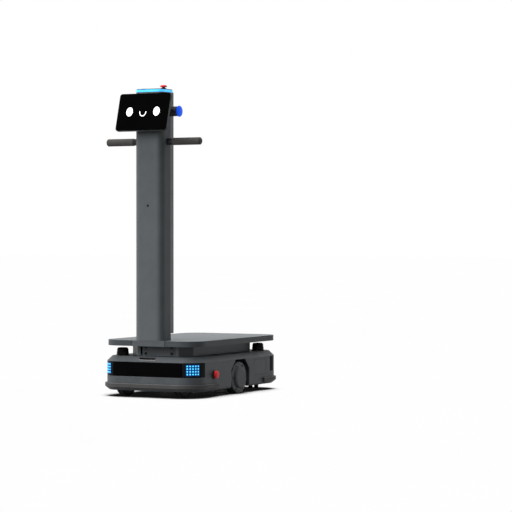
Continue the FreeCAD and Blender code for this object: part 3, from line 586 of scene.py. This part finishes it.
def plate(outline: Profile, frame: Matrix, thick: float) -> Part:
    """A thin flat plate with a slightly drawn-in top, laid on a frame's XY plane.

    Args:
        outline: Its corners in order, in mm, about a centre that sees them all.
        frame: Where the plate lies.
        thick: Its thickness, in mm.

    Returns:
        Points in metres and faces.
    """
    count, drawn_in = len(outline), 0.97
    centre = Vector((sum(x for x, _ in outline) / count, sum(y for _, y in outline) / count, 0))
    points: Points = []
    for share, level in ((1.0, 0.0), (1.0, thick / 2), (drawn_in, thick)):
        for x, y in outline:
            spot = centre.lerp(Vector((x, y, 0)), share)
            spot.z = level
            points.append(frame @ (spot * MM))
    points.append(frame @ (Vector((centre.x, centre.y, thick)) * MM))
    top = [(2 * count + i, 2 * count + (i + 1) % count, 3 * count) for i in range(count)]
    return points, join_rings(count, 2) + top


def mirrored(part: Part) -> Part:
    """Mirror a part across the robot's middle plane, its faces still looking out."""
    points, faces = part
    return [Vector((-p.x, p.y, p.z)) for p in points], [face[::-1] for face in faces]


def extent(node: str) -> tuple[Vector, Vector, Vector]:
    """Return the low corner, the middle and the high corner of a node's box, in metres."""
    low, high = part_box(node)
    return low, (low + high) / 2, high


def add_piece(name: str, parts: Sequence[Part], finish: Finish | Glow, body: str = "chassis") -> bpy.types.Object:
    """Make one piece of the robot from its parts.

    Args:
        name: The piece's name.
        parts: The points and faces of each of its parts.
        finish: What it is made of.
        body: The body it moves with.

    Returns:
        The new object.
    """
    points: Points = []
    faces: Faces = []
    for spots, sides in parts:
        start = len(points)
        points += spots
        faces += [tuple(i + start for i in side) for side in sides]
    mesh = bpy.data.meshes.new(name)
    mesh.from_pydata(points, [], faces)
    mesh.validate()
    mesh.shade_smooth()
    mesh.set_sharp_from_angle(angle=SMOOTH_ANGLE)
    piece = bpy.data.objects.new(name, mesh)
    bpy.context.scene.collection.objects.link(piece)
    mesh.materials.append(finish.material())
    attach(piece, body)
    LOG.info("%s: %d faces, %s, rides on %s", name, len(faces), finish.label, body)
    return piece


class Side(Enum):
    """The two sides of the robot, by the sign of X."""

    RIGHT = 1
    LEFT = -1

    @property
    def label(self) -> str:
        """The side's name as the nodes use it."""
        return self.name.lower()


# ---------------------------------------------------------------- sub-assemblies

@dataclass
class Casing:
    """The lower casing with its window bands, lamps, bumpers, service cover and stop buttons.

    Sizes are in mm and angles in degrees. Profiles list radius and height.
    """

    axle_y: float
    corner_centre: tuple[float, float] = (158.0, -339.0)
    corner_radius: float = 95.0
    lamp_columns: tuple[float, ...] = (-61.2, -53.3, -45.4, -37.5, -29.6)
    lamp_rows: tuple[float, ...] = (148.0, 135.7, 123.3, 111.0)
    lens: Profile = ((3.5, 0.0), (3.22, 0.35), (1.75, 0.75), (0.0, 0.9))
    lens_proud: float = 0.05
    board_margin: float = 6.5
    board_proud: float = 0.1
    lid: Profile = ((15.2, -0.6), (15.2, -0.1), (14.6, 0.25), (14.0, 0.0), (0.0, 0.0))
    slot_middle: tuple[float, float, float] = (-6.0, -422.0, 174.5)
    bevel_slope: float = 43.8
    lip_half: float = 43.0
    lip_top: float = -3.0
    lip_height: float = 3.2
    lip_thick: float = 0.6
    bumper_out: float = 10.0
    bead_width: float = 1.6
    bead_proud: float = 0.05
    top_sleeve: Profile = ((6.97, -24.0), (6.97, -9.85))
    side_sleeve: Profile = ((7.97, -30.0), (7.97, -14.05))
    seam_width: float = 1.6

    def dress(self) -> None:
        """Give the casing's nodes their finishes."""
        dress(CASING_ABS, "body_shell", "service_cover")
        dress(WINDOW_PMMA, "front_window", "rear_window", "front_sensor_strip")
        dress(LAMP_PMMA, "corner_lamps")
        dress(BUMPER_SKIN, "front_bumper", "rear_bumper")
        dress(TURRET_PC, "lidar_front_left", "lidar_rear_right")
        dress(STOP_RED, "side_estop_left", "side_estop_right", "top_estop_head")
        dress(FITTING_PA, "estop_bezels")

    def on_corner(self, turn: float, height: float, proud: float) -> Matrix:
        """Frame of a spot on the right front corner, with Z pointing out.

        Args:
            turn: Where it lies on the corner, in degrees from the side.
            height: Its height, in mm.
            proud: How far it stands off the corner's face, in mm.

        Returns:
            The frame's matrix.
        """
        out = Vector((math.cos(math.radians(turn)), math.sin(math.radians(turn)), 0))
        reach = self.corner_radius + proud
        x, y = self.corner_centre
        spot = Vector((x + reach * out.x, y + reach * out.y, height)) * MM
        return stand(spot + Vector((0, self.axle_y, 0)), out)

    def board(self) -> Part:
        """The glowing board behind one corner's lenses, bent to the corner.

        Returns:
            Points in metres and faces.
        """
        spread = math.degrees(self.board_margin / self.corner_radius)
        low, high = min(self.lamp_columns) - spread, max(self.lamp_columns) + spread
        levels = (max(self.lamp_rows) + self.board_margin, min(self.lamp_rows) - self.board_margin)
        steps = 16
        turns = [low + (high - low) * i / steps for i in range(steps + 1)]
        points = [self.on_corner(turn, level, self.board_proud).translation
                  for level in levels for turn in turns]
        return points, [(i, steps + 1 + i, steps + 2 + i, i + 1) for i in range(steps)]

    def add_lamps(self) -> None:
        """Add the lenses and glowing boards of both front corners."""
        lenses = [revolve(self.lens, self.on_corner(turn, level, self.lens_proud), DOT_STEPS)
                  for turn in self.lamp_columns for level in self.lamp_rows]
        boards = [self.board()]
        for side in Side:
            if side is Side.LEFT:
                lenses, boards = ([mirrored(part) for part in parts] for parts in (lenses, boards))
            add_piece(f"lamp_lenses_{side.label}", lenses, LED_LENS)
            add_piece(f"lamp_board_{side.label}", boards, LED_BOARD)

    def add_turret_lids(self) -> None:
        """Add the screwed lid with its drip edge on each sensor turret."""
        for node in ("lidar_front_left", "lidar_rear_right"):
            _, middle, high = extent(node)
            top = stand((middle.x, middle.y, high.z), (0, 0, 1))
            add_piece(f"{node}_lid", [revolve(self.lid, top)], FITTING_PA)

    def add_slot_lip(self) -> None:
        """Add the pale lip under the sensor slot in the front bevel, a painted highlight."""
        x, y, z = self.slot_middle
        face = (Matrix.Translation(Vector((x * MM, self.axle_y + y * MM, z * MM)))
                @ Matrix.Rotation(math.radians(self.bevel_slope), 4, "X"))
        lip = rectangle((-self.lip_half, self.lip_top - self.lip_height),
                        (self.lip_half, self.lip_top))
        add_piece("slot_lip", [plate(lip, face, self.lip_thick)], LIT_LIP_PAINT)

    def bumper_edge(self, node: str, end: int) -> list[tuple[Vector, Vector]]:
        """Follow a bumper's edge in plan, from its right tip to its left one.

        Args:
            node: The bumper.
            end: -1 for the front bumper and 1 for the rear one.

        Returns:
            Points of the edge with the directions that point out of it.
        """
        low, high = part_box(node)
        radius = (self.corner_radius + self.bumper_out) * MM
        tip, front = (high.y, low.y) if end < 0 else (low.y, high.y)
        middle = Vector((high.x - radius, front - end * radius, 0))
        edge = [(Vector((high.x, tip, 0)), Vector((1, 0, 0)))]
        steps = 24
        for i in range(steps + 1):
            turn = math.radians(90 * i / steps) * end
            out = Vector((math.cos(turn), math.sin(turn), 0))
            edge.append((middle + out * radius, out))
        return edge + [(Vector((-p.x, p.y, 0)), Vector((-n.x, n.y, 0))) for p, n in reversed(edge)]

    def add_beads(self) -> None:
        """Run a pale strip of painted highlight along the top edge of each bumper, from tip to tip."""
        wide, proud = self.bead_width, self.bead_proud
        parts = []
        for node, end in (("front_bumper", -1), ("rear_bumper", 1)):
            _, _, high = extent(node)
            edge = self.bumper_edge(node, end)
            points: Points = []
            for spot, out in edge:
                for reach, rise in ((-wide, proud), (proud, proud), (proud, -wide)):
                    points.append(spot + (out * reach + Vector((0, 0, rise))) * MM
                                  + Vector((0, 0, high.z)))
            parts.append((points, [(3 * i + k, 3 * i + k + 1, 3 * i + k + 4, 3 * i + k + 3)
                                   for i in range(len(edge) - 1) for k in (0, 1)]))
        add_piece("bumper_beads", parts, BUMPER_HIGHLIGHT_PAINT)

    def add_sleeves(self) -> None:
        """Sleeve the stop buttons' stems in black, as thin as their bores allow."""
        for node, body, axis, sleeve in (
                ("top_estop_head", "top_stop", (0, 0, 1), self.top_sleeve),
                ("side_estop_right", "side_stop_right", (1, 0, 0), self.side_sleeve),
                ("side_estop_left", "side_stop_left", (-1, 0, 0), self.side_sleeve)):
            low, middle, high = extent(node)
            out = Vector(axis)
            tip = middle + out * abs((high - low).dot(out)) / 2
            add_piece(f"{node}_sleeve", [revolve(sleeve, stand(tip, axis))], FITTING_PA, body)

    def add_seams(self) -> None:
        """Draw dark strips around the service cover: painted shade of the gap between cover and shell."""
        low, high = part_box("service_cover")
        face = Matrix.Translation(Vector((high.x, low.y, low.z))) @ RIGHT_FACE
        wide, tall, line = (high.y - low.y) / MM, (high.z - low.z) / MM, self.seam_width
        strips = [((0, 0), (wide, line)), ((0, tall - line), (wide, tall)),
                  ((0, line), (line, tall - line)), ((wide - line, line), (wide, tall - line))]
        parts = [plate(rectangle(*strip), face, SEAM_THICK) for strip in strips]
        add_piece("service_seam", parts, FITTING_PA)

    def build(self) -> None:
        """Dress the casing and add its fittings."""
        self.dress()
        self.add_lamps()
        self.add_turret_lids()
        self.add_slot_lip()
        self.add_beads()
        self.add_sleeves()
        self.add_seams()


@dataclass
class DriveWheel:
    """One driven wheel: a grooved tyre on a hub whose cap is ringed by screws.

    Sizes are in mm. The shoulder lists how far it is sunk below the radius, and how far in.
    """

    side: Side
    axle_y: float
    axle_height: float = 75.0
    wheel_face: float = 246.0
    tyre_inset: float = 3.0
    tyre_width: float = 40.0
    radius: float = 75.0
    rim: float = 62.0
    shoulder: Profile = ((3.0, 0.0), (1.2, 1.0), (0.3, 2.6))
    grooves: tuple[float, ...] = (9.0, 16.5, 23.5, 31.0)
    groove_width: float = 2.2
    groove_depth: float = 1.8
    groove_slope: float = 0.3
    rim_plate: Profile = ((73.0, 0.0), (73.0, 0.15), (72.0, 0.5), (51.4, 0.5), (51.4, 0.0))
    plate_inset: float = 0.35
    screw_count: int = 6
    screw_circle: float = 62.0
    screw_proud: float = 0.1
    screw_radius: float = 4.6
    screw_height: float = 1.8
    screw_key: float = 4.0

    def dress(self) -> None:
        """Give the wheel's nodes their finishes."""
        dress(CAST_ALUMINIUM, f"drive_hub_{self.side.label}")
        dress(CAP_PA, f"hub_cap_{self.side.label}")

    def frame(self, reach: float, along: float = 0.0, up: float = 0.0) -> Matrix:
        """Frame on the wheel's axis, with Z pointing out of the robot's side.

        Args:
            reach: Distance from the middle plane, in mm.
            along: Distance behind the axle, in mm.
            up: Distance above the axle, in mm.

        Returns:
            The frame's matrix.
        """
        sign = self.side.value
        spot = (sign * reach * MM, self.axle_y + along * MM, (self.axle_height + up) * MM)
        return stand(spot, (sign, 0, 0))

    def tread(self) -> Profile:
        """Profile of the tyre, with rounded shoulders and grooves.

        Returns:
            Radius and height of each point, in mm, from the tyre's inner face.
        """
        width = self.tyre_width
        shoulder = [(self.radius - sunk, level) for sunk, level in self.shoulder]
        half, floor = self.groove_width / 2, self.radius - self.groove_depth
        profile = [(self.rim, 0.0), *shoulder]
        for middle in self.grooves:
            profile += [(self.radius, middle - half), (floor, middle - half + self.groove_slope),
                        (floor, middle + half - self.groove_slope), (self.radius, middle + half)]
        profile += [(radius, width - level) for radius, level in reversed(shoulder)]
        return [*profile, (self.rim, width)]

    def build(self) -> None:
        """Dress the wheel and add its tyre, rim plate and screws."""
        self.dress()
        label = self.side.label
        body = f"drive_wheel_{label}"
        inner = self.frame(self.wheel_face - self.tyre_inset - self.tyre_width)
        tyre = add_piece(f"tyre_{label}", [revolve(self.tread(), inner, WHEEL_STEPS)], TYRE_PU,
                         body)
        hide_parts(f"drive_tyre_{label}")
        face = self.frame(self.wheel_face - self.plate_inset)
        plates = [revolve(self.rim_plate, face, WHEEL_STEPS)]
        add_piece(f"rim_plate_{label}", plates, CAP_PA, body)
        heads = []
        for index in range(self.screw_count):
            turn = 2 * math.pi * index / self.screw_count
            spot = self.frame(self.wheel_face + self.screw_proud,
                              self.screw_circle * math.cos(turn),
                              self.screw_circle * math.sin(turn))
            heads.append(socket_head(spot, self.screw_radius, self.screw_height, self.screw_key))
        add_piece(f"wheel_screws_{label}", heads, SCREW_OXIDE, body)


@dataclass
class Caster:
    """One twin-wheel caster: a zinc leg on its stem, and two black wheels on one pin.

    The middle of the pin is in metres. Sizes are in mm, and profiles list radius and height.
    """

    end: str
    side: Side
    centre: Sequence[float]
    axis: Sequence[float]
    half_width: float = 24.0
    core: Profile = ((27.0, -0.1), (26.4, 0.5), (23.0, 0.9), (9.0, 1.2), (8.6, 0.9))
    cap: Profile = ((8.4, 0.2), (8.2, 1.6), (6.5, 2.2), (0.0, 2.4))

    def build(self) -> None:
        """Dress the caster and add the cores and caps of its wheels."""
        name = f"{self.end}_{self.side.label}"
        body = f"caster_roll_{name}"
        dress(ZINC_STEEL, f"caster_fork_{name}")
        dress(TREAD_RUBBER, f"caster_wheel_{name}")
        outward = [Vector(self.axis) * sign for sign in (1, -1)]
        faces = [stand(Vector(self.centre) + out * self.half_width * MM, out) for out in outward]
        cores = [revolve(self.core, face) for face in faces]
        caps = [revolve(self.cap, face, SMALL_STEPS) for face in faces]
        add_piece(f"caster_core_{name}", cores, CAP_PA, body)
        add_piece(f"caster_caps_{name}", caps, ZINC_STEEL, body)


@dataclass
class Lift:
    """The lifting deck on its guide rods, with the raised frame it stands over."""

    def build(self) -> None:
        """Dress the lift."""
        dress(DECK_STEEL, "lift_deck")
        dress(SKIRT_STEEL, "lift_frame")
        dress(FRAME_STEEL, "deck_frame")
        dress(GROUND_STEEL, "lift_rods")
        dress(ZINC_STEEL, "lift_guides")
        dress(CAST_ALUMINIUM, "lift_actuator")


@dataclass
class Chassis:
    """The plate under the casing with its motors, battery and control unit."""

    def build(self) -> None:
        """Dress the chassis."""
        dress(FRAME_STEEL, "chassis_frame", "drive_brackets")
        dress(ZINC_STEEL, "caster_mounts")
        dress(CAST_ALUMINIUM, "drive_motor_left", "drive_motor_right", "battery_pack")
        dress(FITTING_PA, "control_unit")


@dataclass
class Column:
    """The tall column with its foot, bracket, light ring, cap and lens. Sizes are in mm."""

    bolt_radius: float = 5.0
    head_radius: float = 6.2
    bolt_height: float = 2.6
    bolt_key: float = 5.0
    seam_width: float = 2.0
    seam_gap: float = 1.0
    bezel: Profile = ((5.5, -0.2), (5.2, 0.15), (3.4, 0.15), (3.2, -0.3))

    def dress(self) -> None:
        """Give the column's nodes their finishes."""
        dress(PAINTED_STEEL, "column_shell", "column_bracket")
        dress(FOOT_STEEL, "column_foot")
        dress(COVER_STEEL, "column_cover")
        dress(RING_LIGHT, "light_ring")
        dress(FITTING_PA, "column_cap", "antenna_puck")
        dress(FRAME_STEEL, "column_spine")
        dress(TURRET_PC, "column_lens")

    def add_bolts(self) -> None:
        """Replace the plain bolt heads with hexagon socket heads."""
        low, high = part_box("bracket_bolts")
        radius = self.bolt_radius * MM
        heads = [socket_head(stand((x, high.y, z), (0, -1, 0)), self.head_radius,
                             self.bolt_height, self.bolt_key)
                 for x in (low.x + radius, high.x - radius)
                 for z in (low.z + radius, high.z - radius)]
        bolts = add_piece("foot_bolts", heads, SCREW_OXIDE)
        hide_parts("bracket_bolts")

    def add_foot_seams(self) -> None:
        """Draw dark strips between the foot's edge and the deck beside it: painted shade of the gaps there."""
        low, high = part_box("column_foot")
        _, deck_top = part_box("lift_deck")
        wide, tall = (high.x - low.x) / MM, (deck_top.z - low.z) / MM
        face = Matrix.Translation(low) @ Matrix.Rotation(math.radians(90), 4, "X")
        seams = [plate(rectangle((x, self.seam_gap), (x + self.seam_width, tall - self.seam_gap)),
                       face, SEAM_THICK) for x in (0.0, wide - self.seam_width)]
        add_piece("foot_seams", seams, FITTING_PA)

    def add_lens_bezel(self) -> None:
        """Add the ring around the small lens in the column's face."""
        low, middle, _ = extent("column_lens")
        front = stand((middle.x, low.y, middle.z), (0, -1, 0))
        add_piece("lens_bezel", [revolve(self.bezel, front, SMALL_STEPS)], SCREW_OXIDE)

    def build(self) -> None:
        """Dress the column and add its fittings."""
        self.dress()
        self.add_bolts()
        self.add_foot_seams()
        self.add_lens_bezel()


@dataclass
class Handle:
    """The cross handle with its collars and rubber grips. Sizes are in mm."""

    plug: Profile = ((9.8, -0.5), (9.5, 0.1), (7.0, 0.4), (0.0, 0.45))

    def build(self) -> None:
        """Dress the handle and add the grips' end plugs."""
        dress(GROUND_STEEL, "handle_bar")
        dress(GRIP_RUBBER, "grip_left", "grip_right")
        dress(FITTING_PA, "handle_collars")
        for side in Side:
            low, middle, high = extent(f"grip_{side.label}")
            end = high.x if side is Side.RIGHT else low.x
            frame = stand((end, middle.y, middle.z), (side.value, 0, 0))
            plug = revolve(self.plug, frame, SMALL_STEPS)
            add_piece(f"grip_plug_{side.label}", [plug], FITTING_PA)


@dataclass
class Controls:
    """The round push button on its barrel. Sizes are in mm; the ring's radii start at its skin."""

    ring: Profile = ((-0.3, -0.9), (0.35, -0.6), (0.35, 0.6), (-0.3, 0.9))
    ring_inset: float = 16.0

    def build(self) -> None:
        """Dress the button and add its clamp ring."""
        dress(HOUSING_PC, "button_barrel")
        dress(BUTTON_LIGHT, "push_button")
        low, middle, high = extent("button_barrel")
        radius = (high.z - low.z) / 2 / MM
        ring = [(radius + grown, level) for grown, level in self.ring]
        seam = stand((high.x - self.ring_inset * MM, middle.y, middle.z), (1, 0, 0))
        add_piece("barrel_ring", [revolve(ring, seam)], SCREW_OXIDE)


@dataclass
class Display:
    """The tilting display with a plain figure of two eyes and a mouth.

    Sizes are in mm, and the tilt is in degrees from upright.
    """

    axle_y: float
    tilt: float = 15.8
    back: tuple[float, float] = (-456.3, 1298.3)
    depth: float = 14.0
    clearance: float = 0.02
    eye_gap: float = 70.5
    eye_size: tuple[float, float] = (16.6, 21.2)
    eye_height: float = 1.0
    mouth_half: float = 16.0
    mouth_top: float = 0.2
    mouth_drop: float = 20.2
    stroke: float = 4.0
    proud: float = 0.12

    def frame(self) -> Matrix:
        """Frame on the middle of the glass, X to the side, Y up the glass and Z out of it.

        Returns:
            The frame's matrix.
        """
        lean = Matrix.Rotation(math.radians(90 - self.tilt), 4, "X")
        back = Matrix.Translation((0, self.axle_y + self.back[0] * MM, self.back[1] * MM))
        return back @ lean @ Matrix.Translation((0, 0, (self.depth + self.clearance) * MM))

    def on_glass(self, x: float, y: float) -> Vector:
        """Return the point of the lit figure at a place on the glass."""
        return self.frame() @ (Vector((x, y, self.proud)) * MM)

    def eye(self, middle: float) -> Part:
        """One oval eye.

        Args:
            middle: Its place across the glass, in mm.

        Returns:
            Points in metres and faces.
        """
        wide, high = self.eye_size
        turns = [2 * math.pi * i / ROUND_STEPS for i in range(ROUND_STEPS)]
        outline = [(middle + wide * math.cos(turn), self.eye_height + high * math.sin(turn))
                   for turn in turns]
        return plate(outline, self.frame(), self.proud)

    def mouth(self) -> Part:
        """The mouth, a rounded stroke bent to an open arc.

        Returns:
            Points in metres and faces.
        """
        steps, cap_steps, half = 24, 12, self.stroke / 2
        turns = [math.pi * (1 + i / steps) for i in range(steps + 1)]
        line = [(self.mouth_half * math.cos(turn),
                 self.mouth_top + self.mouth_drop * math.sin(turn)) for turn in turns]
        outer: Points = []
        inner: Points = []
        for i, (x, y) in enumerate(line):
            before, after = line[max(i - 1, 0)], line[min(i + 1, steps)]
            along = Vector((after[0] - before[0], after[1] - before[1])).normalized()
            outer.append(self.on_glass(x + along.y * half, y - along.x * half))
            inner.append(self.on_glass(x - along.y * half, y + along.x * half))
        points = outer + inner
        faces: Faces = [(i, i + 1, steps + 2 + i, steps + 1 + i) for i in range(steps)]
        for x, y in (line[0], line[-1]):
            start = len(points)
            points.append(self.on_glass(x, y))
            for k in range(cap_steps + 1):
                turn = math.pi * k / cap_steps
                points.append(self.on_glass(x + half * math.cos(turn), y + half * math.sin(turn)))
            faces += [(start, start + 1 + k, start + 2 + k) for k in range(cap_steps)]
        return points, faces

    def build(self) -> None:
        """Dress the display and light its figure."""
        dress(HOUSING_PC, "display_housing")
        dress(SCREEN_GLASS, "display_glass")
        dress(ZINC_STEEL, "display_bracket")
        eyes = [self.eye(self.eye_gap), self.eye(-self.eye_gap)]
        add_piece("screen_eyes", eyes, SCREEN_WHITE, "display")
        add_piece("screen_mouth", [self.mouth()], SCREEN_WHITE, "display")


@dataclass
class Studio:
    """Plain white studio: floor, soft lamps and the camera.

    Distances are in metres and angles in degrees. Each lamp has a name, an aim, a strength and
    the angle that it spreads over.
    """

    axle_y: float
    eye: tuple[float, float, float] = (5.010, -9.023, 0.741)
    heading: float = 27.39
    pitch: float = 0.544
    lens_mm: float = 153.2
    sensor_mm: float = 36.0
    view_depth: float = 500.0
    ambient: float = 0.08
    floor_half: float = 60.0
    floor_tones: tuple[str, str] = ("#FDFDFD", "#FFFFFF")
    floor_bounce: str = "#7A7A7A"
    cover_reach: float = 0.16
    cover_range: tuple[float, float] = (0.42, 0.76)
    cover_samples: int = 16
    shadow_level: float = 0.006
    lamps: tuple[tuple[str, tuple[float, float, float], float, float], ...] = (
        ("key_light", (0.66, 0.72, -0.31), 3.2, 35.0),
        ("side_light", (-1.0, -0.45, -0.35), 0.40, 40.0),
        ("top_light", (0.05, 0.10, -1.0), 2.8, 50.0),
    )

    def seen(self, tree: Tree) -> Socket:
        """Tell the rays that show the surroundings from those that only carry their light.

        Args:
            tree: The tree of the floor's material or of the world.

        Returns:
            A socket that is 1 for camera, glossy and transmission rays, and 0 for the others.
        """
        path = add_node(tree, "ShaderNodeLightPath").outputs
        shown = path["Is Camera Ray"]
        for ray in ("Is Glossy Ray", "Is Transmission Ray"):
            shown = add_node(tree, "ShaderNodeMath", {"operation": "MAXIMUM"}, {
                0: shown, 1: path[ray]}).outputs[0]
        return shown

    def floor_paint(self) -> bpy.types.Material:
        """Make the floor's material, dark only where the body all but covers it.

        Returns:
            The new material.
        """
        material = new_material("matt white studio paint")
        tree = material.node_tree
        place = add_node(tree, "ShaderNodeTexCoord").outputs["Object"]
        cloud = add_node(tree, "ShaderNodeTexNoise", {"Scale": 0.8, "Detail": 3.0}, {
            "Vector": place})
        tone = add_node(tree, "ShaderNodeMix", {
            "data_type": "RGBA", 6: linear(self.floor_tones[0]), 7: linear(self.floor_tones[1]),
        }, {0: cloud.outputs["Fac"]})
        paint = add_node(tree, "ShaderNodeBsdfDiffuse", {
            "Color": linear(self.floor_bounce), "Roughness": 0.4})
        # under a wide bright ceiling the floor looks white, and its shadow hugs the body
        cover = add_node(tree, "ShaderNodeAmbientOcclusion", {
            "samples": self.cover_samples, "Distance": self.cover_reach})
        open_sky = add_node(tree, "ShaderNodeMapRange", {
            "From Min": self.cover_range[0], "From Max": self.cover_range[1],
            "To Min": self.shadow_level, "interpolation_type": "SMOOTHSTEP",
        }, {"Value": cover.outputs["AO"]})
        ceiling = add_node(tree, "ShaderNodeEmission", links={
            "Color": tone.outputs[2], "Strength": open_sky.outputs[0]})
        shown = add_node(tree, "ShaderNodeMixShader", links={
            0: self.seen(tree), 1: paint.outputs[0], 2: ceiling.outputs[0]})
        add_node(tree, "ShaderNodeOutputMaterial", links={"Surface": shown.outputs[0]})
        return material

    def add_floor(self) -> None:
        """Lay the pale floor."""
        mesh = bpy.data.meshes.new("studio_floor")
        half = self.floor_half
        spots = [(x, y, 0.0) for x, y in rectangle((-half, -half), (half, half))]
        mesh.from_pydata(spots, [], [(0, 1, 2, 3)])
        floor = bpy.data.objects.new("studio_floor", mesh)
        bpy.context.scene.collection.objects.link(floor)
        mesh.materials.append(self.floor_paint())

    def add_lights(self) -> None:
        """Hang the soft lamps and light the surroundings."""
        for name, aim, strength, spread in self.lamps:
            lamp = bpy.data.lights.new(name, "SUN")
            lamp.energy = strength
            lamp.angle = math.radians(spread)
            holder = bpy.data.objects.new(name, lamp)
            holder.rotation_euler = Vector(aim).to_track_quat("-Z", "Y").to_euler()
            holder.visible_glossy = False
            bpy.context.scene.collection.objects.link(holder)
        world = bpy.data.worlds.new("white_surroundings")
        bpy.context.scene.world = world
        world.use_nodes = True
        tree = world.node_tree
        tree.nodes.clear()
        level = add_node(tree, "ShaderNodeMapRange", {"To Min": self.ambient, "To Max": 1.0}, {
            "Value": self.seen(tree)})
        light = add_node(tree, "ShaderNodeBackground", {"Color": (1, 1, 1, 1)}, {
            "Strength": level.outputs[0]})
        add_node(tree, "ShaderNodeOutputWorld", links={"Surface": light.outputs[0]})

    def add_camera(self) -> None:
        """Stand the camera in front of the robot's right corner."""
        camera = bpy.data.cameras.new("studio_camera")
        camera.lens = self.lens_mm
        camera.sensor_width = self.sensor_mm
        camera.clip_end = self.view_depth
        holder = bpy.data.objects.new("studio_camera", camera)
        holder.location = Vector(self.eye) + Vector((0, self.axle_y, 0))
        holder.rotation_euler = (math.radians(90 - self.pitch), 0.0, math.radians(self.heading))
        bpy.context.scene.collection.objects.link(holder)
        bpy.context.scene.camera = holder

    def build(self) -> None:
        """Set up the whole studio."""
        self.add_floor()
        self.add_lights()
        self.add_camera()
        bpy.context.scene.view_settings.view_transform = "Standard"


def corners(bounds: Iterable[Sequence[float]]) -> list[list[float]]:
    """Turn a box's corners into plain lists of numbers."""
    return [[float(c) for c in corner] for corner in bounds]


def main() -> None:
    """Dress the robot, add its fittings and set up the studio."""
    logging.basicConfig(level=logging.INFO, format="%(levelname)s %(message)s")
    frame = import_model()
    joints = {joint["name"]: joint for joint in frame["joints"]}
    axle_y = joints["drive_right"]["pos_m"][1]
    Studio(axle_y).build()
    Chassis().build()
    Casing(axle_y).build()
    for side in Side:
        DriveWheel(side, axle_y).build()
        for end in ("front", "rear"):
            roll = joints[f"roll_{end}_{side.label}"]
            Caster(end, side, roll["pos_m"], roll["axis"]).build()
    Lift().build()
    Column().build()
    Handle().build()
    Controls().build()
    Display(axle_y).build()


if __name__ == "__main__":
    main()
